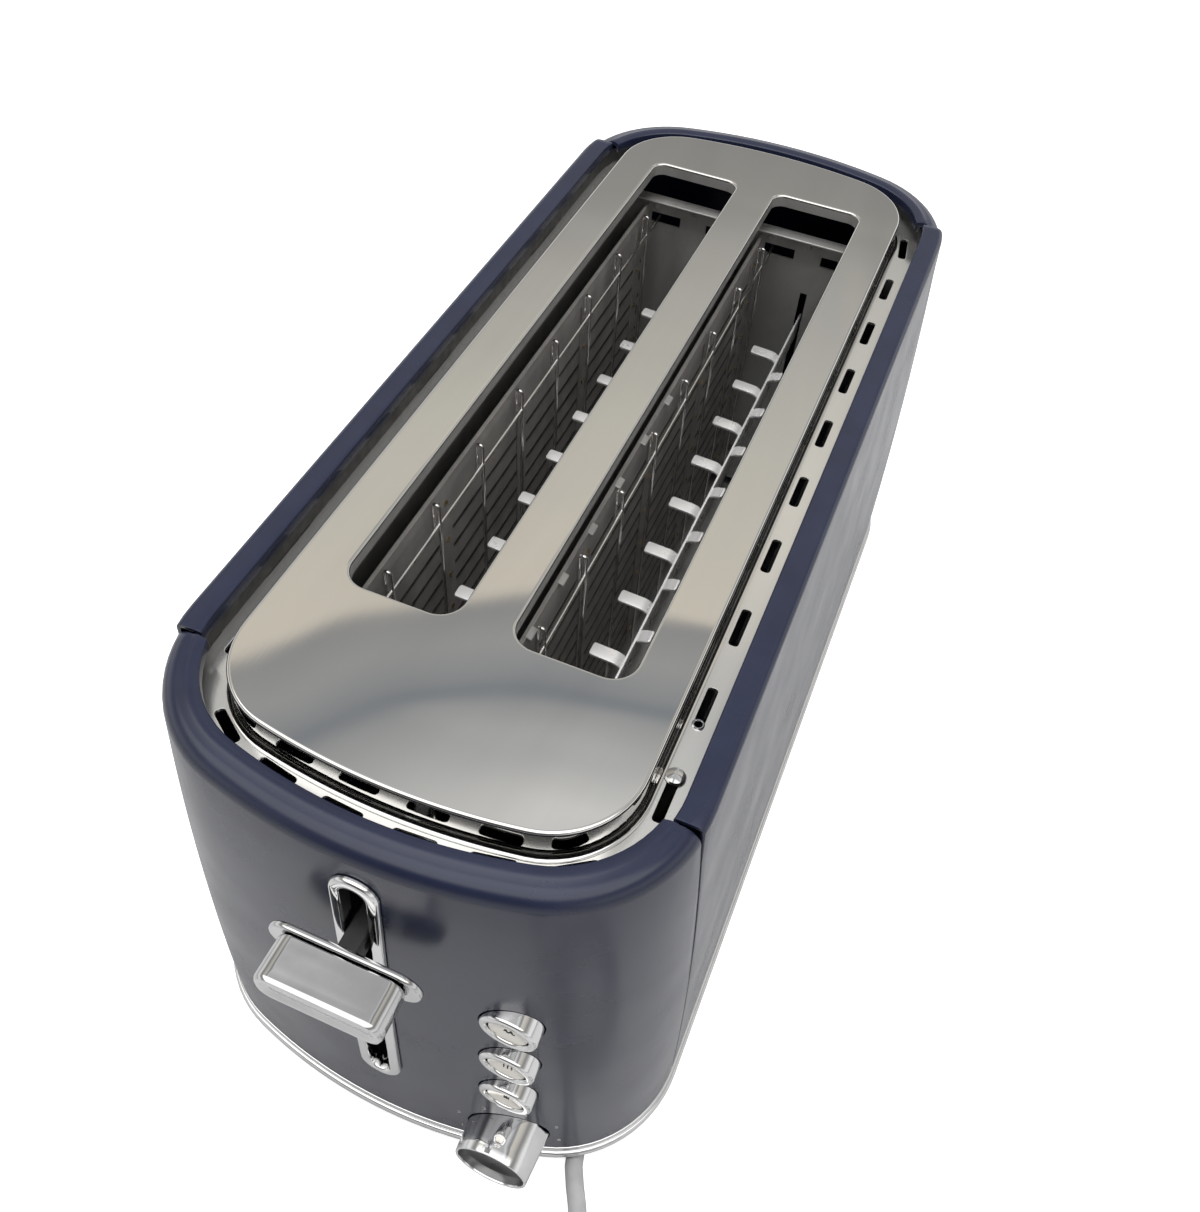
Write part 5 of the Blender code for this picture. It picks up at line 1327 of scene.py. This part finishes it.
# lever: black stem, chrome flange and a polished grip
def buildLever():
    low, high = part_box("lever_stem")
    stem = ringByRing("leverStem",
                      [[Vector(((low[0] + high[0]) / 2 + a, y, (low[2] + high[2]) / 2 + b))
                        for a, b in roundedLoop((high[0] - low[0]) / 2 - inset,
                                                (high[2] - low[2]) / 2 - inset, 0.0009, 4)]
                       for inset, y in ((0.0003, low[1]), (0, low[1] + 0.0003), (0, high[1] - 0.0003),
                                        (0.0003, high[1]))])
    groove = [block("groove", (x - 0.001, low[1] + 0.004, low[2] + 0.003),
                    (x + 0.001, high[1] - 0.004, high[2] - 0.003), 0.0004)
              for x in (low[0] - 0.0003, high[0] + 0.0003)]
    cutWith(stem, *groove)
    dress(stem, "carriage", blackPlastic, "lever_stem", 30)

    low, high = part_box("lever_flange")
    x, z = lever["x"], lever["height"]
    half = (high[0] - low[0]) / 2, (high[2] - low[2]) / 2

    def plateRing(inset, y):
        return [Vector((x + a, y, z + b))
                for a, b in roundedLoop(half[0] - inset, half[1] - inset, half[1] - inset - 0.00001, 12)]

    profile = [(0.0006, high[1]), (0.00015, high[1] - 0.00015), (0, high[1] - 0.0005), (0, low[1] + 0.0008),
               (0.00015, low[1] + 0.0003), (0.0005, low[1] + 0.00005), (0.001, low[1])]
    dress(ringByRing("leverFlange", [plateRing(*step) for step in profile]), "carriage", leverChrome,
          "lever_flange", 40, True)

    low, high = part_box("lever_knob")
    half = (high[0] - low[0]) / 2, (high[2] - low[2]) / 2
    corner = lever["gripCorner"]

    def gripRing(inset, y, sag=0.0):
        loop = roundedLoop(half[0] - inset, half[1] - inset, corner - inset, 10)
        return [Vector((x + a, y, z + b - sag * (1 - (a / half[0]) ** 2) * (1 if b > 0 else -1)))
                for a, b in loop]

    profile = [(0.0006, high[1], 0), (0.0001, high[1] - 0.0003, 0), (0, high[1] - 0.0008, 0)]
    profile += [(0, mix(high[1] - 0.0008, low[1] + 0.0016, step / 6), 0.00025) for step in range(1, 6)]
    profile += [(0, low[1] + 0.0016, 0), (0.0002, low[1] + 0.0008, 0), (0.0006, low[1] + 0.0002, 0),
                (0.0011, low[1], 0), (0.0019, low[1], 0), (0.0026, low[1] + 0.0003, 0),
                (0.0036, low[1] + 0.0009, 0), (0.0042, low[1] + 0.001, 0)]
    dress(ringByRing("leverGrip", [gripRing(*step) for step in profile]), "carriage", leverChrome,
          "lever_knob", 30, True)


buildLever()


def buildEscutcheon():  # a rolled ring that follows the bowed front
    band, proud, inside, outside, back, sleeve = (
        lever[part] for part in ("band", "proud", "innerRound", "outerRound", "back", "sleeve"))
    profile = [(0, -back), (0, proud - inside)]
    profile += [(inside * (1 - cosine(turn)), proud - inside + inside * sine(turn))
                for turn in (22, 45, 68, 90)]
    profile += [(band / 2, proud + 0.00005)]
    profile += [(band - outside + outside * sine(turn), proud - outside + outside * cosine(turn))
                for turn in (0, 22, 45, 68, 90)]
    profile += [(band, 0.0003), (sleeve, 0.0003), (sleeve, -back)]
    rings = []
    for grow, out in profile:
        loop = slotOutline(lever["slotHalf"] + grow, lever["slotTop"] + grow, lever["slotBottom"] - grow, 16,
                           14)
        rings.append([Vector((lever["x"] + x, frontY(lever["x"] + x, z) - out, z)) for x, z in loop])
    dress(ringByRing("slotEscutcheon", rings, closed=True), "housing", chrome, "lever_escutcheon", 40)


buildEscutcheon()
print("lever in")


# push buttons: a chrome barrel round a polished disc, each with its own small mark
def creamDisc():
    disc = Finish("creamDisc", 0.16, 1.0)
    disc.colour(disc.ramp(disc.noise(90, detail=3),
                          [(0.3, (0.66, 0.635, 0.585)), (0.7, (0.74, 0.715, 0.67))]))
    disc.gloss(disc.noise(260, detail=3), 0.12, 0.24)
    return disc.material


def darkPrint(name="darkPrint", tone=0.03):
    ink = Finish(name, 0.5)
    ink.colour(ink.ramp(ink.noise(500, detail=3), [(0.3, (tone * 0.85,) * 3), (0.7, (tone * 1.15,) * 3)]))
    return ink.material


discSteel, ink = creamDisc(), darkPrint()


def buildButtons():
    dish, sink, inside, outside = (buttons[part] for part in ("dish", "sink", "innerRound", "outerRound"))
    radius = buttons["radius"]
    inner = radius - buttons["ring"]
    for number in range(1, len(buttons["drops"]) + 1):
        low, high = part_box(f"button_{number}")
        z = (low[2] + high[2]) / 2
        face, length = low[1], high[1] - low[1]
        seat = (buttons["x"], face, z)
        profile = [(inner - 0.0002, -dish), (inner - 0.00005, -dish + 0.0001), (inner, -dish + 0.0003),
                   (inner, -inside)]
        profile += [(inner + inside - inside * cosine(turn), -inside + inside * sine(turn))
                    for turn in (20, 40, 60, 80)]
        profile += [(radius - outside, 0)]
        profile += [(radius - outside + outside * sine(turn), -outside + outside * cosine(turn))
                    for turn in (22, 45, 68, 90)]
        profile += [(radius, -0.006), (radius - 0.0003, -0.0062), (radius - 0.0003, -0.0068),
                    (radius, -0.007), (radius, -length + 0.0006), (radius - 0.0006, -length)]
        barrel = turned(f"buttonBarrel{number}", profile, seat, (0, -1, 0), 64)
        dress(barrel, f"push_button_{number}", chrome, f"button_{number}", 35)
        top, edge = -0.0007, inner - 0.0003

        def hollow(reach):
            return top - sink * (1 - (reach / edge) ** 2)

        profile = [(edge - 0.0002, -dish + 0.0003), (edge, -dish + 0.0005), (edge, top - 0.0002),
                   (edge - 0.0002, top)]
        profile += [(edge * share, hollow(edge * share))
                    for share in (0.93, 0.85, 0.74, 0.6, 0.45, 0.3, 0.15)] + [(0, hollow(0))]
        disc = turned(f"buttonDisc{number}", profile, seat, (0, -1, 0), 48)
        dress(disc, f"push_button_{number}", discSteel, f"button_cap_{number}", 35)
        level = face - hollow(0.0022)

        def stroke(points, wide=buttons["markWire"]):
            return wire("stroke", [(buttons["x"] + a, level, z + b) for a, b in points], wide, 6,
                        up=(0, 1, 0))

        if number == 1:  # a wavy line
            marks = [stroke([(-0.0017 + 0.0034 * step / 12, -0.0022 + 0.0005 * math.sin(step * math.pi / 3))
                             for step in range(13)])]
        elif number == 2:  # three ticks
            marks = [stroke([(x, -0.003), (x, -0.0022), (x, -0.0014)]) for x in (-0.0013, 0, 0.0013)]
        else:  # a small star
            marks = [stroke([(0.0011 * math.cos(turn), -0.0022 + 0.0011 * math.sin(turn)), (0, -0.0022),
                             (-0.0011 * math.cos(turn), -0.0022 - 0.0011 * math.sin(turn))], 0.0002)
                     for turn in (math.radians(angle) for angle in (30, 90, 150))]
        dress(joinAll(f"buttonMark{number}", marks), f"push_button_{number}", ink, (), 40)


buildButtons()


# browning knob: a thin-rimmed cup with one flat side, and its dial printed round it
# painted shade: a dark metal standing for the shade and dark reflection inside the knob's chrome dish
def knobDishShade():
    hollow = Finish("knobDishShade", 0.3, 1.0)
    hollow.colour(hollow.ramp(hollow.noise(80, detail=4),
                              [(0.3, (0.13, 0.13, 0.132)), (0.7, (0.19, 0.19, 0.19))]))
    hollow.gloss(hollow.noise(200, detail=3), 0.24, 0.4)
    return hollow.material


def buildKnob():
    face = knobSeat + knobWay * browning["proud"]
    rim, root, dish, deep = (browning[part] for part in ("faceRadius", "radius", "dish", "deep"))
    shaft, flat = browning["shaft"], root - browning["flatDepth"]
    shaftEnd = (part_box("browning_knob")[1][1] - face.y) / math.cos(browning["lean"])
    profile = [(0, -deep + 0.0002), (dish * 0.4, -deep + 0.0001), (dish * 0.75, -deep + 0.0004),
               (dish * 0.92, -deep + 0.0011), (dish - 0.0002, -deep + 0.0022), (dish, -0.0006),
               (dish + 0.00012, -0.0002), (dish + 0.0004, 0), (rim - 0.0004, 0), (rim - 0.00012, -0.0001),
               (rim, -0.0004)]
    profile += [(mix(rim, root, share), -0.0004 - (browning["proud"] - 0.0004) * share)
                for share in (0.33, 0.66, 1)]
    profile += [(root, -browning["length"] + 0.0006), (root - 0.0006, -browning["length"]),
                (shaft, -browning["length"]), (shaft, -shaftEnd + 0.0004), (shaft - 0.0004, -shaftEnd),
                (0, -shaftEnd)]
    knob = turned("browningKnob", profile, face, knobWay, 96)
    flatWay = Vector((cosine(browning["flatTurn"]), 0, sine(browning["flatTurn"])))
    flatWay = (flatWay - knobWay * flatWay.dot(knobWay)).normalized()
    bisectAt(knob, face + flatWay * flat, flatWay)

    def flatEdge(edge):
        return edgeAngle(edge, 8) and all(abs((vert.co - face).dot(flatWay) - flat) < 0.00001
                                          for vert in edge.verts)

    def inHollow(part):
        reach = part.calc_center_median() - face
        along = reach.dot(knobWay)
        return -deep - 0.0002 < along < -0.001 and (reach - knobWay * along).length < dish - 0.00005

    bevelWhere(knob, flatEdge, 0.00018, 2)
    dress(knob, "browning_control", chrome, "browning_knob", 30)
    # painted shade: the faces inside the dish take the darker metal
    knob.data.materials.append(knobDishShade())
    pick(knob, inHollow)
    knob.active_material_index = 1
    bpy.ops.object.material_slot_assign()
    leaveEdit()


buildKnob()


def buildDial():
    paint = darkPrint("palePrint", 0.55)
    figures = []
    for index in range(dial["figures"]):
        turn = dial["firstTurn"] - dial["turnStep"] * index
        x, z = browning["x"] + dial["reach"] * cosine(turn), browning["height"] + dial["reach"] * sine(turn)
        makeActive(None)
        bpy.ops.object.text_add()
        figure = bpy.context.object
        figure.data.body = str(index + 1)
        figure.data.size = dial["tall"]
        figure.data.extrude = dial["print"]
        figure.data.align_x, figure.data.align_y = "CENTER", "CENTER"
        bpy.ops.object.convert(target="MESH")
        figure = bpy.context.object
        near = 0.0005
        out = Vector((frontY(x + near, z) - frontY(x - near, z), -2 * near, 0)).normalized()
        across = Vector((-out.y, out.x, 0)).normalized()
        up = Vector((0, frontY(x, z + near) - frontY(x, z - near), 2 * near)).normalized()
        normal = across.cross(up).normalized()
        seat = Vector((x, frontY(x, z), z)) + normal * 0.00004
        figure.data.transform(Matrix((across, up, normal)).transposed().to_4x4())
        figure.data.transform(Matrix.Translation(seat))
        figures.append(figure)
    printed = joinAll("dialFigures", figures)
    makeActive(printed)
    printed.matrix_world = Matrix.Identity(4)
    dress(printed, "housing", paint, (), 30)


buildDial()
print("controls in")


# the underside: a vented pan with rails and a cord pocket, on four screwed-on feet
base = {"inset": 0.0023, "wall": 0.0025, "floor": 0.003, "low": 0.008, "tall": 0.008, "railX": 0.05,
        "railWide": 0.004, "railTop": 0.0172, "railFront": -0.112, "railRear": 0.1534,
        "pocket": (0.0582, 0.0742, -0.1795, -0.139), "pocketRoof": 0.019, "pocketWall": 0.002,
        "ventPitch": 0.012, "ventRows": 19, "ventShift": 0.018, "ventHalf": 0.0018, "sideReach": 0.104,
        "innerVent": (0.0235, 0.0165), "outerVent": (0.067, 0.0085), "recess": (0.026, 0.012),
        "recessY": -0.144, "screws": [(-0.074, -0.124), (0.074, -0.104), (-0.074, 0.124), (0.074, 0.124),
                                      (0, 0.183)], "screwWell": (0.0042, 0.0016), "screwRadius": 0.0032}
crumb = {"halfWidth": 0.05, "floor": 0.0175, "top": 0.0233, "sheet": 0.001, "grip": 0.003,
         "ribs": (-0.03, -0.01, 0.01, 0.03)}


def placed(a, b, height):  # a place measured from the shell's middle
    return Vector((a, b + middleY, height))


def panHead(spot, way, radius):  # a small cross-headed screw
    head = turned("screwHead", [(radius * 0.55, -0.0006), (radius, -0.0004), (radius, 0.0002),
                                (radius * 0.86, 0.0007), (radius * 0.5, 0.001), (0, 0.0011)], spot, way, 28)
    spot, way = Vector(spot), Vector(way)
    reach, thin = radius * 0.62, radius * 0.12
    for a, b in ((reach, thin), (thin, reach)):
        cut = block("cross", (-a, -b, 0.0004), (a, b, 0.002))
        cut.data.transform(Matrix.Translation(spot) @ way.to_track_quat("Z", "Y").to_matrix().to_4x4())
        cutWith(head, cut)
    return head


def buildBase():
    low, floor, top = base["low"], base["low"] + base["floor"], base["low"] + base["tall"]
    inset, wall = base["inset"], base["wall"]
    pan = ringByRing("basePan", [planOutline(shell["foot"], inset + more, height) for more, height in (
        (0.0016, low), (0.0005, low + 0.0004), (0, low + 0.0014), (0, top - 0.0003), (0.0003, top),
        (wall - 0.0003, top), (wall, top - 0.0003), (wall, floor + 0.001), (wall + 0.001, floor))])
    rails = []
    for side in (-1, 1):
        ends = sorted((side * base["railX"], side * (base["railX"] - base["railWide"])))
        rails.append(block("rail", placed(ends[0], base["railFront"], floor - 0.001),
                           placed(ends[1], base["railRear"], base["railTop"]), 0.0004))
    left, right, front, rear = base["pocket"]
    more = base["pocketWall"]
    rails.append(block("pocketShell", placed(left - more, front - more, low + 0.0012),
                       placed(right + more, rear + more, base["pocketRoof"] + more), 0.0008))
    cutWith(pan, *rails, operation="UNION")
    cuts = [block("pocket", placed(left, front, low - 0.002), placed(right, rear, base["pocketRoof"]), 0.001)]
    for row in range(base["ventRows"]):  # air slots between the rails, and shorter ones outside them
        y = base["ventPitch"] * (row - (base["ventRows"] - 1) / 2) + base["ventShift"]
        beside = abs(y) <= base["sideReach"] and not row % 2
        for x, half in [base["innerVent"]] + [base["outerVent"]] * beside:
            for side in (-1, 1):
                outline = roundedLoop(half, base["ventHalf"], base["ventHalf"] - 0.00005, 4)
                loop = [(side * x + a, y + middleY + b) for a, b in outline]
                cuts.append(slab("airSlot", loop, low - 0.002, floor + 0.002))
    recess = [(a, b + middleY + base["recessY"]) for a, b in roundedLoop(*base["recess"], 0.003, 5)]
    cuts.append(slab("plateRecess", recess, low - 0.002, low + 0.0005))
    well, deep = base["screwWell"]
    for x, y in base["screws"]:
        cuts.append(turned("screwWell", [(well, -0.01), (well, deep)], placed(x, y, low), sides=32))
    cutWith(pan, *cuts)
    bevelWhere(pan, lambda edge: edgeAngle(edge, 60)
               and all(abs(vert.co.z - low) < 0.0001 for vert in edge.verts), 0.0003, 2)
    dress(pan, "housing", blackPlastic, "base_tray", 30)
    heads = [panHead(placed(x, y, low + 0.0017), (0, 0, -1), base["screwRadius"]) for x, y in base["screws"]]
    dress(joinAll("baseScrews", heads), "housing", zinc, (), 30)


def buildFeet():
    for number in range(1, 5):
        low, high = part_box(f"foot_{number}")
        middle = middleOf(f"foot_{number}")
        radius, tall = (high[0] - low[0]) / 2, high[2]
        profile = [(0, tall), (radius - 0.0012, tall), (radius - 0.0003, tall - 0.0003),
                   (radius, tall - 0.001)]
        for groove in (0.005, 0.0032):
            profile += [(radius, groove + 0.0005), (radius - 0.0005, groove + 0.0003),
                        (radius - 0.0005, groove - 0.0003), (radius, groove - 0.0005)]
        profile += [(radius, 0.0012), (radius - 0.0003, 0.0004), (radius - 0.001, 0), (0.0047, 0),
                    (0.0043, 0.0003), (0.0041, 0.0028), (0, 0.0028)]
        foot = turned(f"rubberFoot{number}", profile, (middle.x, middle.y, 0), sides=56)
        dress(foot, "housing", blackRubber, f"foot_{number}", 30)
        screw = panHead((middle.x, middle.y, 0.0026), (0, 0, -1), 0.003)
        screw.name = f"footScrew{number}"
        dress(screw, "housing", zinc, (), 30)


def buildCrumbTray():  # folded sheet with rolled edges, stiffening ribs and a finger grip
    low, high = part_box("crumb_tray")
    sheet, half, floor, top = crumb["sheet"], crumb["halfWidth"], crumb["floor"], crumb["top"]
    front = low[1]
    rear = frontY(half, shell["bottom"]) * -1 + middleY * 2 - 0.003
    pan = block("crumbPan", (-half, front, floor), (half, rear, top), 0.0008)
    cutWith(pan, block("crumbHollow", (-half + sheet, front + sheet, floor + sheet),
                       (half - sheet, rear - sheet * 2, top + 0.01), 0.001, 3))
    ribs = [block("crumbRib", (x - 0.003, front + 0.018, floor + sheet - 0.0004),
                  (x + 0.003, rear - 0.022, floor + sheet + 0.0007), 0.0007, 3) for x in crumb["ribs"]]
    bulk = block("gripBlock", (-half, rear - sheet * 2, floor), (half, high[1] + 0.01, top))
    limit = ringByRing("gripLimit", [planOutline(shell["foot"], inset - crumb["grip"], height)
                                     for inset, height in ((0.0006, floor - 0.0001), (0.0006, floor), (
        0, floor + 0.0007), (0, top - 0.0009), (0.0008, top), (0.0008, top + 0.0001))])
    cutWith(bulk, limit, operation="INTERSECT")
    cutWith(pan, bulk, *ribs, operation="UNION")
    scoop = slab("fingerScoop", [(a, high[1] - 0.0015 + b) for a, b in roundedLoop(0.022, 0.0034, 0.0033, 6)],
                 top - 0.0026, top + 0.01)
    cutWith(pan, scoop)
    bevelWhere(pan, lambda edge: edgeAngle(edge, 50) and min(vert.co.y for vert in edge.verts) > rear, 0.0003,
               2)
    dress(pan, "crumb_drawer", zinc, "crumb_tray", 30)


buildBase()
buildFeet()
buildCrumbTray()
print("underside closed")


# control board: green laminate with its switches, relay, capacitor and resistors, on two hexagonal spacers
def laminate():
    board = Finish("greenLaminate", 0.36)
    board.colour(board.ramp(board.noise(70, detail=4),
                            [(0.3, (0.012, 0.085, 0.034)), (0.7, (0.022, 0.13, 0.055))]))
    board.gloss(board.noise(260, detail=3), 0.28, 0.46)
    board.bump(board.noise(520, (1, 1, 0.3), 2), 0.00004, 0.5)
    return board.material


def lacquer(name, low, high, rough=0.35):
    coat = Finish(name, rough)
    coat.colour(coat.ramp(coat.noise(180, detail=4), [(0.3, low), (0.7, high)]))
    coat.gloss(coat.noise(300, detail=3), rough - 0.07, rough + 0.1)
    return coat.material


def buildBoard():
    low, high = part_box("control_board")
    middle = (low[0] + high[0]) / 2
    sheet = block("controlBoard", low, high, 0.0003, 2)
    holes = [turned("boardHole", [(0.0016, -0.01), (0.0016, 0.01)], (x, low[1], z), (0, 1, 0), 20)
             for x in (low[0] + 0.0035, high[0] - 0.0035) for z in (low[2] + 0.02, high[2] - 0.0035)]
    cutWith(sheet, *holes)
    dress(sheet, "housing", laminate(), "control_board", 30)
    domes, solder = [], []
    for number in range(1, 4):  # a snap dome behind each push button
        bottom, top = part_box(f"button_{number}")
        z = (bottom[2] + top[2]) / 2
        domes.append(turned("snapDome", [(0.0048, 0), (0.0048, 0.00012), (0.003, 0.00028), (0, 0.00036)],
                            (buttons["x"], low[1] + 0.00004, z), (0, -1, 0), 32))
    for z in (0.042, 0.046, 0.05, 0.0545, 0.084, 0.101, 0.133):
        for x in (middle - 0.014, middle - 0.0115, middle + 0.0125, middle + 0.015):
            solder.append(
                turned("solderJoint", [(0.0009, 0), (0.0007, 0.0002), (0.0003, 0.0005), (0, 0.0006)],
                       (x, low[1] + 0.00005, z), (0, -1, 0), 10))
    dress(joinAll("boardMetal", domes + solder), "housing", zinc, (), 30)
    back = high[1] - 0.0001
    dark = [block("relay", (middle + 0.0005, back, 0.042), (middle + 0.0155, back + 0.0115, 0.061), 0.0006,
                  3), block("timerChip", (middle - 0.0155, back, 0.099),
                            (middle - 0.005, back + 0.0018, 0.106), 0.0003, 2),
            block("plugSocket", (middle + 0.002, back, 0.112), (middle + 0.015, back + 0.0065, 0.1175),
                  0.0004, 2)]
    dress(joinAll("boardBlackParts", dark), "housing", blackPlastic, (), 30)
    film = block("filmCapacitor", (middle + 0.001, back, 0.066), (middle + 0.0155, back + 0.008, 0.078),
                 0.0012, 3)
    dress(film, "housing", lacquer("ochreLacquer", (0.42, 0.2, 0.035), (0.55, 0.28, 0.06)), (), 30)
    tin = turned("smoothingCapacitor", [(0, 0), (0.004, 0), (0.0043, 0.0003), (0.0043, 0.0012),
                                        (0.004, 0.0016), (0.0043, 0.002), (0.0043, 0.0104), (0.004, 0.0109),
                                        (0.0033, 0.0109), (0.0031, 0.0107), (0, 0.0107)],
                 (middle - 0.011, back, 0.12), (0, 1, 0), 40)
    dress(tin, "housing", lacquer("blueSleeve", (0.012, 0.022, 0.07), (0.02, 0.034, 0.095)), (), 30)
    bodies, legs = [], []
    for index, z in enumerate((0.082, 0.085, 0.108, 0.036)):
        x = middle + (0.006 if index < 2 else -0.01)
        y = back + 0.0016
        bodies.append(
            turned("resistor", [(0.0006, -0.0034), (0.0012, -0.0031), (0.0013, -0.0024), (0.001, -0.0018),
                                (0.001, 0.0018), (0.0013, 0.0024), (0.0012, 0.0031), (0.0006, 0.0034)],
                   (x, y, z), (1, 0, 0), 20))
        for way in (-1, 1):
            legs.append(
                wire("leg", [(x + way * 0.003, y, z), (x + way * 0.0046, y, z),
                             (x + way * 0.0052, y - 0.0006, z), (x + way * 0.0052, back - 0.0002, z)], 0.0003,
                     8, up=(0, 0, 1)))
    dress(joinAll("resistors", bodies), "housing",
          lacquer("tanLacquer", (0.36, 0.25, 0.14), (0.46, 0.33, 0.2)), (), 30)
    dress(joinAll("resistorLegs", legs), "housing", zinc, (), 40)
    for number in (1, 2):
        start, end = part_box(f"board_spacer_{number}")
        x, z, length = (start[0] + end[0]) / 2, (start[2] + end[2]) / 2, end[1] - start[1]
        spacer = turned(f"boardSpacer{number}", [(0.0022, 0), (0.0029, 0.0004), (0.0029, length - 0.0004),
                                                 (0.0022, length)], (x, start[1], z), (0, 1, 0), 6)
        dress(spacer, "housing", zinc, f"board_spacer_{number}", 30)


def buildPotentiometer():
    low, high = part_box("potentiometer")
    lean, radius = browning["lean"], 0.008
    near = knobSeat + knobWay * ((knobSeat.y - low[1] - radius * math.sin(lean)) / math.cos(lean))
    deep = (high[1] - low[1] - radius * math.sin(lean)) / math.cos(lean) - 0.0005
    can = turned("potentiometer", [(0, 0), (0.007, 0), (0.0077, 0.0003), (0.008, 0.001), (0.008, 0.0028),
                                   (0.0076, 0.0031), (0.0076, 0.0036), (0.0079, 0.0039),
                                   (0.0079, deep - 0.0006), (0.0074, deep), (0, deep)], near, -knobWay, 56)
    legs = [block("potLeg", (near.x + step * 0.0042 - 0.0009, high[1] - 0.004, near.z - 0.0112),
                  (near.x + step * 0.0042 + 0.0009, high[1] - 0.0035, near.z - 0.007), 0.0001, 1)
            for step in (-1, 0, 1)]
    dress(joinAll("potentiometer", [can] + legs), "housing", zinc, "potentiometer", 30)
    low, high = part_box("potentiometer_bush")
    outer = (high[0] - low[0]) / 2
    long = (high[1] - low[1] - 2 * outer * math.sin(lean)) / math.cos(lean)
    bore = browning["bore"]
    start = near + knobWay * 0.0003
    profile = [(bore, 0.0003), (bore + 0.0003, 0), (outer - 0.0005, 0), (outer, 0.0004), (outer, 0.0018),
               (outer - 0.0004, 0.0022)]
    thread = outer - 0.0008
    steps = int((long - 0.003) / 0.0005)
    for step in range(steps):
        profile += [(thread, 0.0024 + 0.0005 * step), (thread - 0.0002, 0.00265 + 0.0005 * step)]
    profile += [(thread, long - 0.0004), (thread - 0.0004, long), (bore + 0.0003, long),
                (bore, long - 0.0003)]
    bush = turned("potentiometerBush", profile, start, knobWay, 36, bored=True)
    dress(bush, "housing", brass, "potentiometer_bush", 30)


buildBoard()
buildPotentiometer()
print("board fitted")


# the cord's two ends: a ribbed relief in its pocket and a moulded plug on the floor
def buildRelief():
    start, long = placed(*cordRoute["reliefStart"]), cordRoute["reliefLength"]
    profile = [(0, 0), (0.005, 0), (0.0052, 0.0003), (0.0052, 0.004), (0.0046, 0.0044), (0.0046, 0.0056),
               (0.0052, 0.006), (0.0052, 0.008)]
    for rib in range(6):
        along = 0.0096 + 0.0033 * rib
        outer = mix(0.0051, 0.0043, rib / 5)
        profile += [(outer - 0.0009, along - 0.001), (outer - 0.0009, along), (outer, along + 0.0004),
                    (outer, along + 0.0017)]
    profile += [(0.0037, long - 0.001), (0.0036, long - 0.0002), (0.0034, long), (0, long)]
    relief = turned("cordRelief", profile, start, reliefWay(), 40)
    dress(relief, "housing", blackRubber, "cord_strain_relief", 30)


def buildPlug(start, way):
    across = Vector((-way.y, way.x, 0))

    def plugRing(along, halfX, halfZ, radius):
        return [start + way * along + across * a + Vector((0, 0, b))
                for a, b in roundedLoop(halfX, halfZ, radius, 8)]

    sections = [(0, 0.0044, 0.0044, 0.0043), (0.0004, 0.0048, 0.0048, 0.0047)]
    for rib in range(5):
        along, size = 0.0016 + 0.0024 * rib, mix(0.0048, 0.0056, rib / 4)
        for step, half in ((0, size), (0.0008, size), (0.001, size - 0.0009), (0.0018, size - 0.0009)):
            sections.append((along + step, half, half, half * 0.97))
    sections += [(0.0146, 0.0066, 0.0062, 0.0055), (0.017, 0.009, 0.0079, 0.006),
                 (0.0195, 0.0116, 0.0092, 0.006), (0.0225, 0.013, 0.0098, 0.0056),
                 (0.026, 0.0132, 0.01, 0.0052), (0.03, 0.0124, 0.0098, 0.005), (0.034, 0.0124, 0.0098, 0.005),
                 (0.0385, 0.0133, 0.01, 0.005), (0.043, 0.0135, 0.01, 0.0048), (0.047, 0.0135, 0.01, 0.0046),
                 (0.0478, 0.0132, 0.0097, 0.0044), (0.048, 0.0126, 0.0091, 0.004)]
    body = ringByRing("plugBody", [plugRing(*section) for section in sections])
    turn = math.atan2(way.y, way.x) - math.pi / 2
    place = Matrix.Translation(start + way * (sections[-1][0] + cordRoute["gap"])) @ Matrix.Rotation(
        turn, 4, "Z")
    ridges = []
    for side in (-1, 1):
        for row in range(5):
            ridges.append(block("gripRidge", (side * 0.0128 - 0.001, -0.0178 + row * 0.0026, -0.0052),
                                (side * 0.0128 + 0.001, -0.0166 + row * 0.0026, 0.0052), 0.0004, 2))
    for ridge in ridges:
        ridge.data.transform(place)
    cutWith(body, *ridges, operation="UNION")
    dress(body, "housing", blackRubber, "plug_body", 30)
    pieces = [body]
    for number, side in enumerate((-1, 1), 1):
        x = side * 0.00635
        blade = block(f"plugBlade{number}", (x - 0.00075, 0, -0.0032), (x + 0.00075, 0.016, 0.0032))
        bevelWhere(blade, lambda edge: all(vert.co.y > 0.0155 for vert in edge.verts)
                   and abs(edge.verts[0].co.x - edge.verts[1].co.x) > 0.001, 0.0012, 4)
        bevelWhere(blade, lambda edge: edgeAngle(edge, 60), 0.00018, 2)
        cutWith(blade, turned("bladeHole", [(0.0016, -0.004), (0.0016, 0.004)], (x, 0.0124, 0), (1, 0, 0),
                              28))
        blade.data.transform(place)
        dress(blade, "housing", brass, f"plug_blade_{number}", 30)
        pieces.append(blade)
    pin = turned("plugEarthPin", [(0, 0), (0.0024, 0), (0.0024, 0.0166), (0.0022, 0.0176), (0.0016, 0.0184),
                                  (0.0008, 0.0189), (0, 0.019)], (0, 0, 0.0052), (0, 1, 0), 36)
    pin.data.transform(place)
    dress(pin, "housing", brass, "plug_earth_pin", 40)
    return pieces + [pin]


buildRelief()
buildPlug(plugStart, plugWay)
print("cord ends made")
